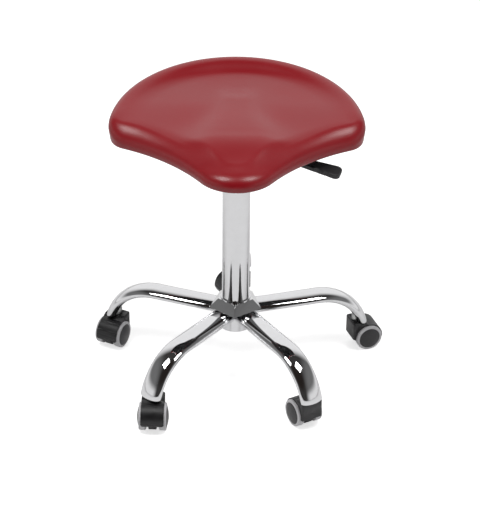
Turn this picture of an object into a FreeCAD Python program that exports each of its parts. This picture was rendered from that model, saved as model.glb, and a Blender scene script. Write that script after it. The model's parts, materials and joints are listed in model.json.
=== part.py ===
import FreeCAD, Part

import math
import os

import Sketcher

# A saddle stool on five twin-wheel castors, with a gas lift. Millimetres. The origin is on the
# axis of the column at floor level, +Z is up and the nose of the seat points towards -Y. The
# stool stands at its lowest, and each castor is turned as it happens to stand.

SIZES = {
    # Castors, measured from the floor and from the axis of the wheels
    "wheel_radius": 25.0,
    "tread_depth": 4.8,
    "wheel_outer_face": 24.6,
    "wheel_dome": 3.6,
    "tread_width": 12.8,
    "wheel_hub_radius": 7.0,
    "wheel_wall": 2.6,
    "tread_rounding": 2.2,
    "axle_radius": 3.0,
    "shaft_clearance": 0.08,
    "side_clearance": 0.6,
    "castor_trail": 17.5,
    "hood_width": 41.0,
    "hood_web": 14.6,
    "hood_wall": 1.3,
    "hood_clearance": 0.8,
    "hood_top": 58.0,
    "hood_neck_front": 13.0,
    "hood_neck_back": 7.0,
    "hood_front_bottom": 24.0,
    "hood_front_rounding": 4.0,
    "hood_back_angle": 10.0,
    "stem_radius": 5.4,
    "stem_bottom": 38.0,
    "stem_collar_radius": 9.0,
    "stem_collar_gap": 0.3,
    "grip_ring_height": 4.0,
    "grip_ring_depth": 0.7,
    # Five-star base
    "castor_circle": 235.0,
    "sleeve_radius": 9.5,
    "sleeve_bore": 5.6,
    "sleeve_bottom": 60.0,
    "sleeve_length": 20.0,
    "arm_width": 44.0,
    "arm_thickness": 20.0,
    "arm_wall": 1.5,
    "arm_height": 123.0,
    "arm_bend_start": 156.0,
    "arm_bend_radius": 90.0,
    "arm_bend_angle": 68.0,
    "arm_end_height": 59.5,
    "hub_radius": 31.0,
    "hub_neck_radius": 27.4,
    "hub_bottom": 90.0,
    "hub_shoulder": 133.0,
    "hub_top": 151.0,
    "gusset_reach": 50.0,
    "gusset_top_reach": 33.0,
    "gusset_height": 16.0,
    # Gas lift
    "tube_radius": 25.0,
    "tube_wall": 1.5,
    "tube_taper": 0.8,
    "tube_bottom": 92.0,
    "tube_floor": 3.0,
    "tube_top": 418.0,
    "bush_length": 80.0,
    "bush_flange": 3.0,
    "cylinder_radius": 14.0,
    "cylinder_wall": 1.6,
    "cylinder_gland": 20.0,
    "cylinder_plug": 30.0,
    "cone_length": 25.0,
    "cone_taper": 0.8,
    "rod_radius": 5.0,
    "rod_tail": 4.0,
    "piston_height": 12.0,
    "piston_clearance": 0.1,
    "piston_top": 352.0,
    "clip_depth": 0.8,
    "clip_thickness": 1.5,
    "clip_radius": 8.0,
    "bearing_radius": 14.0,
    "bearing_washer": 2.0,
    "ball_radius": 2.5,
    "ball_circle": 10.5,
    "bearing_gap": 0.05,
    "buffer_radius": 12.0,
    "buffer_height": 14.0,
    "valve_pin_radius": 4.0,
    "valve_pin_tip": 2.5,
    "valve_pin_length": 32.0,
    "valve_pin_stands": 4.0,
    "lift_travel": 190.0,
    # Seat form
    "seat_bottom": 470.0,
    "half_width": 225.0,
    "rear_centre": -11.7,
    "wing_radius": 42.0,
    "wing_centre": 4.5,
    "flank_radius": 329.0,
    "nose_radius": 77.5,
    "nose_centre": -105.0,
    "widest_height": 30.0,
    "wall_lean": 4.0,
    "crown_radius": 16.0,
    "rim_height": 61.0,
    "wing_height": 45.0,
    "nose_height": 26.0,
    "thigh_height": 38.0,
    "dish_height": 42.0,
    "ridge_rise": 15.0,
    "ridge_width": 62.0,
    "rim_roll": 46.0,
    # Seat build
    "skin": 1.2,
    "glue_gap": 0.3,
    "board_thickness": 12.0,
    "board_inset": 6.2,
    "hem_inset": 24.0,
    "dust_cover_inset": 10.0,
    "dust_cover_skin": 0.7,
    "dust_cover_step": 1.0,
    "staple_inset": 17.0,
    "staple_width": 10.0,
    "staple_wire": 0.6,
    "staple_depth": 7.0,
    # Seat mechanism
    "plate_width": 150.0,
    "plate_length": 190.0,
    "plate_thickness": 3.0,
    "plate_corner": 12.0,
    "bolt_spacing_x": 120.0,
    "bolt_spacing_y": 160.0,
    "bolt_radius": 3.0,
    "bolt_head_radius": 6.5,
    "bolt_head_height": 4.5,
    "bolt_length": 14.0,
    "t_nut_barrel": 4.2,
    "t_nut_flange": 9.5,
    "t_nut_thickness": 1.4,
    "channel_width": 76.0,
    "channel_depth": 36.0,
    "channel_length": 140.0,
    "channel_corner": 5.0,
    "socket_radius": 19.0,
    "socket_height": 20.0,
    # Height lever
    "lever_angle": 14.5,
    "lever_rod_radius": 4.0,
    "lever_inner_end": 7.0,
    "lever_bend_start": 36.0,
    "lever_droop": 10.2,
    "lever_bend_radius": 30.0,
    "lever_rod_length": 114.0,
    "lever_pivot": 27.0,
    "lever_pin_radius": 1.5,
    "lever_pin_length": 16.0,
    "lug_gap": 9.0,
    "lug_thickness": 3.0,
    "lug_length": 12.0,
    "lug_drop": 11.5,
    "lever_slot": 22.0,
    "grip_start": 70.0,
    "grip_length": 84.0,
    "grip_width": 33.0,
    "grip_neck": 18.0,
    "grip_corner": 10.0,
    "grip_thickness": 9.5,
    "grip_rounding": 2.5,
    "grip_notch": 7.0,
    "grip_notch_depth": 1.8,
}

ARMS = 5
FIRST_ARM = 88.2
ARM_STEP = 360.0 / ARMS
# Where the wheels of each castor trail to, counted anticlockwise from +X as seen from above
HEADINGS = (213.0, 243.8, 268.0, 119.1, 20.5)
BALLS = 12
STAPLE_SPACING = 34.0
CORNERS = ((-1, -1), (1, -1), (1, 1), (-1, 1))


class Size:
    """A length: its number now, and the formula that ties it to the cells of the sheet."""

    def __init__(self, value, formula):
        self.value = float(value)
        self.formula = formula

    def __add__(self, other):
        other = as_size(other)
        return Size(self.value + other.value, "(%s + %s)" % (self.formula, other.formula))

    def __sub__(self, other):
        other = as_size(other)
        return Size(self.value - other.value, "(%s - %s)" % (self.formula, other.formula))

    def __mul__(self, factor):
        return Size(self.value * factor, "(%s * %s)" % (self.formula, factor))

    def __truediv__(self, divisor):
        return Size(self.value / divisor, "(%s / %s)" % (self.formula, divisor))

    def __neg__(self):
        return Size(-self.value, "(0 - %s)" % self.formula)

    __radd__ = __add__


def as_size(length):
    return length if isinstance(length, Size) else Size(length, repr(float(length)))


class Sizes:
    """Every driving dimension by its name."""

    def __init__(self, table):
        for name, value in table.items():
            setattr(self, name, Size(value, "Sizes." + name))


doc = FreeCAD.newDocument("saddle_stool")
sheet = doc.addObject("Spreadsheet::Sheet", "Sizes")
for row, (name, value) in enumerate(SIZES.items(), start=1):
    sheet.set("A%d" % row, name)
    sheet.set("B%d" % row, str(value))
    sheet.setAlias("B%d" % row, name)
doc.recompute()
S = Sizes(SIZES)
PIECES = []


# Helpers for the document


def keep(piece, label, turn=0.0, at=(0.0, 0.0, 0.0)):
    """Names a finished piece of the stool and puts it in its place."""
    piece.Label = label
    upright = FreeCAD.Rotation(FreeCAD.Vector(0, 0, 1), turn)
    piece.Placement = FreeCAD.Placement(FreeCAD.Vector(*at), upright)
    PIECES.append(piece)
    return piece


def new_body(name):
    return doc.addObject("PartDesign::Body", name)


def new_sketch(body, role, lift=None):
    """A sketch on one of the body's own planes, moved along the plane's normal by lift."""
    sketch = body.newObject("Sketcher::SketchObject", body.Name + "_sketch")
    plane = [p for p in body.Origin.OriginFeatures if p.Role == role][0]
    sketch.AttachmentSupport = [(plane, "")]
    sketch.MapMode = "FlatFace"
    if lift is not None:
        sketch.AttachmentOffset = FreeCAD.Placement(
            FreeCAD.Vector(0, 0, lift.value), FreeCAD.Rotation()
        )
        sketch.setExpression(".AttachmentOffset.Base.z", lift.formula)
    return sketch


def bind(sketch, kind, where, length):
    """One datum of a sketch, tied to the sheet."""
    index = sketch.addConstraint(Sketcher.Constraint(kind, *where, length.value))
    sketch.setExpression("Constraints[%d]" % index, length.formula)


def fix_point(sketch, geometry, end, across, up):
    """Holds a point of a sketch at its two distances from the origin."""
    for kind, axis, length in (("DistanceX", -2, across), ("DistanceY", -1, up)):
        length = as_size(length)
        if abs(length.value) < 1e-9:
            sketch.addConstraint(Sketcher.Constraint("PointOnObject", geometry, end, axis))
        else:
            bind(sketch, kind, (-1, 1, geometry, end), length)


def arc_about(start, end, radius, side):
    """The centre of the arc from start to end; side is 1 where the centre lies to the left."""
    chord = end - start
    half = chord.Length / 2
    height = math.sqrt(max(radius * radius - half * half, 0.0))
    left = FreeCAD.Vector(-chord.y, chord.x, 0).normalize()
    return (start + end) * 0.5 + left * (height * side)


def outline(sketch, corners):
    """A closed outline. A corner is (across, up), or (across, up, radius, side) where the edge
    that leaves it is an arc of under a half circle."""
    spots = [FreeCAD.Vector(as_size(c[0]).value, as_size(c[1]).value, 0) for c in corners]
    ends = []
    for index, corner in enumerate(corners):
        start, stop = spots[index], spots[(index + 1) % len(spots)]
        if len(corner) == 2:
            number = sketch.addGeometry(Part.LineSegment(start, stop), False)
            ends.append((number, 1, 2))
            continue
        radius, side = corner[2:]
        centre = arc_about(start, stop, radius.value, side)
        first, last = (start, stop) if side > 0 else (stop, start)
        circle = Part.Circle(centre, FreeCAD.Vector(0, 0, 1), radius.value)
        angles = [math.atan2(p.y - centre.y, p.x - centre.x) for p in (first, last)]
        number = sketch.addGeometry(Part.ArcOfCircle(circle, *angles), False)
        ends.append((number, 1, 2) if side > 0 else (number, 2, 1))
        bind(sketch, "Radius", (number,), radius)
    for index, (number, start, stop) in enumerate(ends):
        after = ends[(index + 1) % len(ends)]
        sketch.addConstraint(Sketcher.Constraint("Coincident", number, stop, after[0], after[1]))
        fix_point(sketch, number, start, corners[index][0], corners[index][1])


def circles(sketch, radius, centres):
    for across, up in centres:
        spot = FreeCAD.Vector(as_size(across).value, as_size(up).value, 0)
        circle = Part.Circle(spot, FreeCAD.Vector(0, 0, 1), radius.value)
        number = sketch.addGeometry(circle, False)
        bind(sketch, "Radius", (number,), radius)
        fix_point(sketch, number, 3, across, up)


def rectangle(left, right, low, high):
    return ((left, low), (right, low), (right, high), (left, high))


def pad(body, sketch, length, both_ways=False, downwards=False):
    feature = body.newObject("PartDesign::Pad", body.Name + "_pad")
    feature.Profile = sketch
    feature.Length = length.value
    feature.setExpression("Length", length.formula)
    feature.Midplane = both_ways
    feature.Reversed = downwards
    return feature


def pocket(body, sketch, length, both_ways=False, upwards=False):
    """Cuts the sketch out of the body, and checks that it does take something away."""
    doc.recompute()
    before = body.Shape.Volume
    feature = body.newObject("PartDesign::Pocket", body.Name + "_pocket")
    feature.Profile = sketch
    feature.Length = length.value
    feature.setExpression("Length", length.formula)
    feature.Midplane = both_ways
    feature.Reversed = upwards
    doc.recompute()
    if before - body.Shape.Volume < 1e-3:
        raise RuntimeError(body.Name + ": a pocket cuts nothing")
    return feature


def turned(name, corners):
    """A body turned about the Z axis from an outline in radius and height."""
    body = new_body(name)
    sketch = new_sketch(body, "XZ_Plane")
    outline(sketch, corners)
    feature = body.newObject("PartDesign::Revolution", name + "_turned")
    feature.Profile = sketch
    feature.ReferenceAxis = (sketch, ["V_Axis"])
    feature.Angle = 360
    return body


def ring(name, inner, outer, low, high):
    return turned(name, rectangle(inner, outer, low, high))


def soften(body, radius, picks):
    """Rounds the edges of the body that picks says yes to."""
    doc.recompute()
    base = body.Tip
    names = ["Edge%d" % (i + 1) for i, e in enumerate(base.Shape.Edges) if picks(e)]
    feature = body.newObject("PartDesign::Fillet", body.Name + "_fillet")
    feature.Base = (base, names)
    feature.Radius = radius.value
    feature.setExpression("Radius", radius.formula)
    return feature


def is_straight(edge):
    return edge.Curve.TypeId == "Part::GeomLine"


def cut(name, base, tool):
    feature = doc.addObject("Part::Cut", name)
    feature.Base = base
    feature.Tool = tool
    return feature


def around(radius, angle):
    """The point at this radius and angle about the column."""
    turn = math.radians(angle)
    return (radius * math.cos(turn), radius * math.sin(turn), 0.0)


# Castor wheel: a nylon disc with a domed face, and a soft tread moulded round it


wheel_inner = S.hood_web / 2 + S.side_clearance
wheel_outer = S.wheel_outer_face
core_radius = S.wheel_radius - S.tread_depth
wheel_bore = S.axle_radius + S.shaft_clearance
tread_low = wheel_outer - S.tread_width


def lay_on_axle(body, side):
    """Turns a body made about Z so that it lies along the axle, facing out on one side."""
    body.Placement = FreeCAD.Placement(
        FreeCAD.Vector(), FreeCAD.Rotation(FreeCAD.Vector(1, 0, 0), -90 * side)
    )


def castor_place(body, number, side=0):
    """Puts a castor's piece under its arm, turned to the castor's heading."""
    heading = FreeCAD.Rotation(FreeCAD.Vector(0, 0, 1), HEADINGS[number])
    stem = FreeCAD.Vector(*around(S.castor_circle.value, FIRST_ARM + ARM_STEP * number))
    place = FreeCAD.Placement(stem, heading)
    if side:
        hub = FreeCAD.Vector(S.castor_trail.value, 0, S.wheel_radius.value)
        lying = FreeCAD.Rotation(FreeCAD.Vector(1, 0, 0), -90 * side)
        place = place.multiply(FreeCAD.Placement(hub, lying))
    body.Placement = place


def make_wheel_core(name):
    """The disc: a hub on the axle, a web behind a domed face, and a rim under the tread."""
    hub_end = wheel_outer - S.wheel_wall
    rim_inside = core_radius - S.wheel_wall
    dome = S.wheel_dome
    dome_radius = Size(
        (core_radius.value ** 2 + dome.value ** 2) / (2 * dome.value),
        "((%s ^ 2 + Sizes.wheel_dome ^ 2) / (2 * Sizes.wheel_dome))" % core_radius.formula,
    )
    return turned(
        name,
        (
            (wheel_bore, wheel_inner),
            (S.wheel_hub_radius, wheel_inner),
            (S.wheel_hub_radius, hub_end),
            (rim_inside, hub_end),
            (rim_inside, tread_low),
            (core_radius, tread_low),
            (core_radius, wheel_outer, dome_radius, 1),
            (0, wheel_outer + dome),
            (0, wheel_outer),
            (wheel_bore, wheel_outer),
        ),
    )


def make_tread(name):
    """The soft ring round the disc, rounded on both shoulders."""
    shoulder = S.wheel_radius - S.tread_rounding
    return turned(
        name,
        (
            (core_radius, tread_low),
            (shoulder, tread_low, S.tread_rounding, 1),
            (S.wheel_radius, tread_low + S.tread_rounding),
            (S.wheel_radius, wheel_outer - S.tread_rounding, S.tread_rounding, 1),
            (shoulder, wheel_outer),
            (core_radius, wheel_outer),
        ),
    )


# Castor hood: a nylon fender over the backs of both wheels, with a web between them for the
# axle and a neck that swivels about the stem


def make_hood(name):
    body = new_body(name)
    profile = new_sketch(body, "XZ_Plane")
    radius = S.wheel_radius + S.hood_clearance + S.hood_wall
    back = math.radians(S.hood_back_angle.value)
    back_across = S.castor_trail + Size(radius.value * math.cos(back),
                                        "(%s * cos(Sizes.hood_back_angle * 1 deg))" % radius.formula)
    back_up = S.wheel_radius - Size(radius.value * math.sin(back),
                                    "(%s * sin(Sizes.hood_back_angle * 1 deg))" % radius.formula)
    crown_up = S.wheel_radius + radius
    front = -S.hood_neck_front
    outline(
        profile,
        (
            (front, S.hood_front_bottom),
            (S.castor_trail, S.wheel_radius - S.wheel_hub_radius),
            (back_across, back_up, radius, 1),
            (S.castor_trail, crown_up),
            (S.hood_neck_back, S.hood_top),
            (front, S.hood_top),
        ),
    )
    pad(body, profile, S.hood_width, both_ways=True)
    for side in (1, -1):
        well = new_sketch(body, "XZ_Plane", (S.hood_web / 2) * side)
        circles(well, S.wheel_radius + S.hood_clearance, ((S.castor_trail, S.wheel_radius),))
        pocket(body, well, S.hood_width, upwards=side > 0)
    bore = new_sketch(body, "XZ_Plane")
    circles(bore, S.axle_radius, ((S.castor_trail, S.wheel_radius),))
    pocket(body, bore, S.hood_width, both_ways=True)
    socket = new_sketch(body, "XY_Plane", S.stem_bottom - S.shaft_clearance)
    circles(socket, S.stem_radius + S.shaft_clearance, ((0, 0),))
    pocket(body, socket, S.hood_top, upwards=True)

    def neck_edges(edge):
        box = edge.BoundBox
        return box.ZMax > S.hood_top.value - 0.01 and box.ZLength < 0.01 and is_straight(edge)

    def front_edges(edge):
        box = edge.BoundBox
        return box.XMax < front.value + 0.01 and box.ZLength > 10 and is_straight(edge)

    def end_corners(edge):
        box = edge.BoundBox
        outside = min(abs(box.YMin), abs(box.YMax)) > S.hood_width.value / 2 - 0.01
        short = edge.Length < S.hood_wall.value * 1.5
        return box.XMin > S.castor_trail.value and outside and short and is_straight(edge)

    soften(body, S.hood_front_rounding, front_edges)
    soften(body, S.hood_front_rounding, end_corners)
    soften(body, S.hood_wall * 1.5, neck_edges)
    return body


def make_axle(name):
    body = new_body(name)
    sketch = new_sketch(body, "XZ_Plane")
    circles(sketch, S.axle_radius, ((S.castor_trail, S.wheel_radius),))
    pad(body, sketch, (wheel_outer - S.wheel_wall) * 2, both_ways=True)
    return body


for number in range(ARMS):
    castor = "castor_%d_" % (number + 1)
    for label, maker in (("hood", make_hood), ("axle", make_axle)):
        piece = keep(maker(castor + label), castor + label)
        castor_place(piece, number)
    for side, hand in ((1, "left"), (-1, "right")):
        for label, maker in (("wheel", make_wheel_core), ("tread", make_tread)):
            title = castor + hand + "_" + label
            piece = keep(maker(title), title)
            castor_place(piece, number, side)


def five_of(maker, name, label):
    """Five like pieces in one node, one at the end of each arm."""
    masters = []
    for number in range(ARMS):
        body = maker("%s_%d" % (name, number + 1))
        spot = around(S.castor_circle.value, FIRST_ARM + ARM_STEP * number)
        body.Placement = FreeCAD.Placement(FreeCAD.Vector(*spot), FreeCAD.Rotation())
        masters.append(body)
    group = doc.addObject("Part::Compound", label)
    group.Links = masters
    return keep(group, label)


# Castor stems: steel pins with a collar, each held in its sleeve by a split grip ring


sleeve_top = S.sleeve_bottom + S.sleeve_length
ring_low = S.sleeve_bottom + S.sleeve_length / 2
ring_high = ring_low + S.grip_ring_height
neck_radius = S.sleeve_bore - S.grip_ring_depth


def make_stem(name):
    collar_low = S.hood_top + S.stem_collar_gap
    return turned(
        name,
        (
            (0, S.stem_bottom),
            (S.stem_radius, S.stem_bottom),
            (S.stem_radius, collar_low),
            (S.stem_collar_radius, collar_low),
            (S.stem_collar_radius, S.sleeve_bottom),
            (S.stem_radius, S.sleeve_bottom),
            (S.stem_radius, ring_low),
            (neck_radius, ring_low),
            (neck_radius, ring_high),
            (S.stem_radius, ring_high),
            (S.stem_radius, sleeve_top),
            (0, sleeve_top),
        ),
    )


def make_grip_ring(name):
    return ring(name, neck_radius, S.sleeve_bore, ring_low, ring_high)


def make_sleeve(name):
    return ring(name, S.sleeve_bore, S.sleeve_radius, S.sleeve_bottom, sleeve_top)


def make_stem_with_ring(name):
    pair = doc.addObject("Part::Compound", name)
    pair.Links = [make_stem(name + "_pin"), make_grip_ring(name + "_ring")]
    return pair


five_of(make_stem_with_ring, "stem", "castor_stems")
five_of(make_sleeve, "sleeve", "stem_sleeves")


# Arms: oval steel tube, straight out of the hub and then bent down over the castor


def make_arm(number):
    name = "arm_%d" % (number + 1)
    body = new_body(name + "_tube")
    path = new_sketch(body, "XZ_Plane")
    bend = math.radians(S.arm_bend_angle.value)
    start = FreeCAD.Vector(S.tube_radius.value, S.arm_height.value, 0)
    knee = FreeCAD.Vector(S.arm_bend_start.value, S.arm_height.value, 0)
    centre = knee - FreeCAD.Vector(0, S.arm_bend_radius.value, 0)
    out = FreeCAD.Vector(math.sin(bend), math.cos(bend), 0)
    bent = centre + out * S.arm_bend_radius.value
    tail = FreeCAD.Vector(math.cos(bend), -math.sin(bend), 0)
    drop = bent.y - S.arm_end_height.value + S.arm_thickness.value
    tip = bent + tail * (drop / math.sin(bend))
    path.addGeometry(Part.LineSegment(start, knee), False)
    circle = Part.Circle(centre, FreeCAD.Vector(0, 0, 1), S.arm_bend_radius.value)
    path.addGeometry(Part.ArcOfCircle(circle, math.pi / 2 - bend, math.pi / 2), False)
    path.addGeometry(Part.LineSegment(bent, tip), False)
    path.addConstraint(Sketcher.Constraint("Tangent", 0, 2, 1, 2))
    path.addConstraint(Sketcher.Constraint("Tangent", 1, 1, 2, 1))
    fix_point(path, 0, 1, S.tube_radius, S.arm_height)
    fix_point(path, 0, 2, S.arm_bend_start, S.arm_height)
    bind(path, "Radius", (1,), S.arm_bend_radius)
    index = path.addConstraint(Sketcher.Constraint("Angle", 2, -bend))
    path.setExpression("Constraints[%d]" % index, "0 deg - Sizes.arm_bend_angle * 1 deg")
    bind(path, "DistanceY", (-1, 1, 2, 2), S.arm_end_height - S.arm_thickness)
    section = new_sketch(body, "YZ_Plane", S.tube_radius)
    for wall in (as_size(0), S.arm_wall):
        half_width = S.arm_width / 2 - wall
        half_depth = S.arm_thickness / 2 - wall
        middle = FreeCAD.Vector(0, S.arm_height.value, 0)
        oval = Part.Ellipse(middle, half_width.value, half_depth.value)
        ellipse = section.addGeometry(oval, False)
        section.exposeInternalGeometry(ellipse)
        major, minor = ellipse + 1, ellipse + 2
        bind(section, "Distance", (major,), half_width * 2)
        bind(section, "Distance", (minor,), half_depth * 2)
        section.addConstraint(Sketcher.Constraint("Horizontal", major))
        fix_point(section, ellipse, 3, 0, S.arm_height)
    pipe = body.newObject("PartDesign::AdditivePipe", name + "_pipe")
    pipe.Profile = section
    pipe.Spine = (path, [])
    pipe.Mode = "Frenet"
    trim = new_sketch(body, "XZ_Plane")
    reach = S.arm_bend_start + S.arm_bend_radius + S.arm_width
    outline(trim, rectangle(S.arm_bend_start, reach, 0, S.arm_end_height))
    pocket(body, trim, S.arm_width * 2, both_ways=True)
    steep = math.tan(math.radians(ARM_STEP / 2))
    side = Size(S.gusset_reach.value * steep, "(Sizes.gusset_reach * %r)" % steep)
    for half in (1, -1):
        mitre = new_sketch(body, "XY_Plane")
        outline(mitre, ((0, 0), (S.gusset_reach, side * half), (0, side * half))[::half])
        pocket(body, mitre, S.arm_height * 2, upwards=True)
    hub = doc.addObject("Part::Cylinder", name + "_hub_cut")
    hub.setExpression("Radius", S.hub_radius.formula)
    hub.setExpression("Height", (S.arm_height * 2).formula)
    sleeve = doc.addObject("Part::Cylinder", name + "_sleeve_cut")
    sleeve.setExpression("Radius", S.sleeve_radius.formula)
    sleeve.setExpression("Height", sleeve_top.formula)
    sleeve.setExpression("Placement.Base.x", S.castor_circle.formula)
    return keep(cut(name, cut(name + "_saddled", body, hub), sleeve), name,
                turn=FIRST_ARM + ARM_STEP * number)


for number in range(ARMS):
    make_arm(number)


# Hub: a steel socket with a tapered bore that the column wedges into, and a five-sided gusset
# that closes the tops of the arms against it


def bore_at(height):
    """The radius of the tapered seat at this height: full at the top of the hub."""
    run = S.hub_top.value - S.tube_bottom.value
    share = (S.hub_top.value - height.value) / run
    formula = "(Sizes.tube_radius - Sizes.tube_taper * (Sizes.hub_top - %s) / %s)"
    return Size(S.tube_radius.value - S.tube_taper.value * share,
                formula % (height.formula, (S.hub_top - S.tube_bottom).formula))


keep(
    turned(
        "hub",
        (
            (bore_at(S.hub_bottom), S.hub_bottom),
            (S.hub_radius, S.hub_bottom),
            (S.hub_radius, S.hub_shoulder),
            (S.hub_neck_radius, S.hub_shoulder),
            (S.hub_neck_radius, S.hub_top),
            (S.tube_radius, S.hub_top),
        ),
    ),
    "hub",
)


def pentagon(sketch, reach):
    """Five corners, one between each two arms."""
    spots = []
    for number in range(ARMS):
        turn = math.radians(FIRST_ARM + ARM_STEP * (number + 0.5))
        across = Size(reach.value * math.cos(turn), "(%s * %r)" % (reach.formula, math.cos(turn)))
        up = Size(reach.value * math.sin(turn), "(%s * %r)" % (reach.formula, math.sin(turn)))
        spots.append((across, up))
    outline(sketch, spots)


def make_gusset():
    body = new_body("hub_gusset")
    low = S.hub_shoulder
    foot = new_sketch(body, "XY_Plane", low)
    pentagon(foot, S.gusset_reach)
    head = new_sketch(body, "XY_Plane", low + S.gusset_height)
    pentagon(head, S.gusset_top_reach)
    loft = body.newObject("PartDesign::AdditiveLoft", "hub_gusset_loft")
    loft.Profile = foot
    loft.Sections = [head]
    loft.Ruled = True
    bore = new_sketch(body, "XY_Plane", low)
    circles(bore, S.hub_neck_radius, ((0, 0),))
    pocket(body, bore, S.gusset_height, upwards=True)
    return keep(body, "hub_gusset")


make_gusset()


# Gas lift: the outer tube wedged in the hub, a plastic guide bush in its mouth, and in it the
# pressure cylinder, which rides up and down on a rod that stands on a ball bearing


tube_inside = S.tube_radius - S.tube_wall
floor_top = S.tube_bottom + S.tube_floor
rod_hole = S.rod_radius + S.shaft_clearance * 2

keep(
    turned(
        "column_tube",
        (
            (rod_hole, S.tube_bottom),
            (bore_at(S.tube_bottom), S.tube_bottom),
            (S.tube_radius, S.hub_top),
            (S.tube_radius, S.tube_top),
            (tube_inside, S.tube_top),
            (tube_inside, S.hub_top),
            (bore_at(floor_top) - S.tube_wall, floor_top),
            (rod_hole, floor_top),
        ),
    ),
    "column_tube",
)

bush_bore = S.cylinder_radius + S.shaft_clearance
keep(
    turned(
        "guide_bush",
        (
            (bush_bore, S.tube_top - S.bush_length),
            (tube_inside, S.tube_top - S.bush_length),
            (tube_inside, S.tube_top),
            (S.tube_radius, S.tube_top),
            (S.tube_radius, S.tube_top + S.bush_flange),
            (bush_bore, S.tube_top + S.bush_flange),
        ),
    ),
    "guide_bush",
)

washer_low = floor_top + S.bearing_gap
ball_low = washer_low + S.bearing_washer
ball_high = ball_low + S.ball_radius * 2
washer_high = ball_high + S.bearing_washer
buffer_high = washer_high + S.buffer_height
cylinder_bottom = buffer_high + S.glue_gap
channel_low = S.seat_bottom + S.skin - S.dust_cover_skin - S.plate_thickness - S.channel_depth
cone_low = channel_low - S.bush_flange
cone_top = cone_low + S.cone_length
valve_top = cone_top + S.valve_pin_stands
cavity_radius = S.cylinder_radius - S.cylinder_wall
cavity_top = cone_top - S.cylinder_plug

washers = doc.addObject("Part::Compound", "bearing_washers")
washers.Links = [
    ring("lower_washer", S.rod_radius, S.bearing_radius, washer_low, ball_low),
    ring("upper_washer", S.rod_radius, S.bearing_radius, ball_high, washer_high),
]
keep(washers, "bearing_washers")

balls = doc.addObject("Part::Compound", "bearing_balls")
ball_list = []
for number in range(BALLS):
    ball = doc.addObject("Part::Sphere", "ball_%d" % (number + 1))
    ball.setExpression("Radius", S.ball_radius.formula)
    angle = 360.0 / BALLS * number
    for axis, share in (("x", math.cos(math.radians(angle))), ("y", math.sin(math.radians(angle)))):
        ball.setExpression("Placement.Base." + axis, "%s * %r" % (S.ball_circle.formula, share))
    ball.setExpression("Placement.Base.z", (ball_low + S.ball_radius).formula)
    ball_list.append(ball)
balls.Links = ball_list
keep(balls, "bearing_balls")

keep(ring("rubber_buffer", S.rod_radius, S.buffer_radius, washer_high, buffer_high), "rubber_buffer")

clip_high = S.tube_bottom - S.glue_gap
clip_low = clip_high - S.clip_thickness
clip_seat = S.rod_radius - S.clip_depth
keep(ring("retaining_clip", clip_seat, S.clip_radius, clip_low, clip_high), "retaining_clip")

piston_radius = cavity_radius - S.piston_clearance
piston_low = S.piston_top - S.piston_height
keep(
    turned(
        "piston_rod",
        (
            (0, clip_low - S.rod_tail),
            (S.rod_radius, clip_low - S.rod_tail),
            (S.rod_radius, clip_low),
            (clip_seat, clip_low),
            (clip_seat, clip_high),
            (S.rod_radius, clip_high),
            (S.rod_radius, piston_low),
            (piston_radius, piston_low),
            (piston_radius, S.piston_top),
            (0, S.piston_top),
        ),
    ),
    "piston_rod",
)

cone_tip = S.cylinder_radius - S.cone_taper
valve_bore = S.valve_pin_radius + S.shaft_clearance
rod_seal = S.rod_radius + S.shaft_clearance
keep(
    turned(
        "gas_cylinder",
        (
            (rod_seal, cylinder_bottom),
            (S.cylinder_radius, cylinder_bottom),
            (S.cylinder_radius, cone_low),
            (cone_tip, cone_top),
            (valve_bore, cone_top),
            (valve_bore, cavity_top),
            (cavity_radius, cavity_top),
            (cavity_radius, cylinder_bottom + S.cylinder_gland),
            (rod_seal, cylinder_bottom + S.cylinder_gland),
        ),
    ),
    "gas_cylinder",
)

tip_low = valve_top - S.valve_pin_stands / 2
keep(
    turned(
        "release_pin",
        (
            (0, valve_top - S.valve_pin_length),
            (S.valve_pin_radius, valve_top - S.valve_pin_length),
            (S.valve_pin_radius, tip_low),
            (S.valve_pin_tip, valve_top),
            (0, valve_top),
        ),
    ),
    "release_pin",
)


# Seat form: the outline seen from above is a half circle behind, a small round at each wing, a
# hollow flank down each side and a round nose


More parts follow.
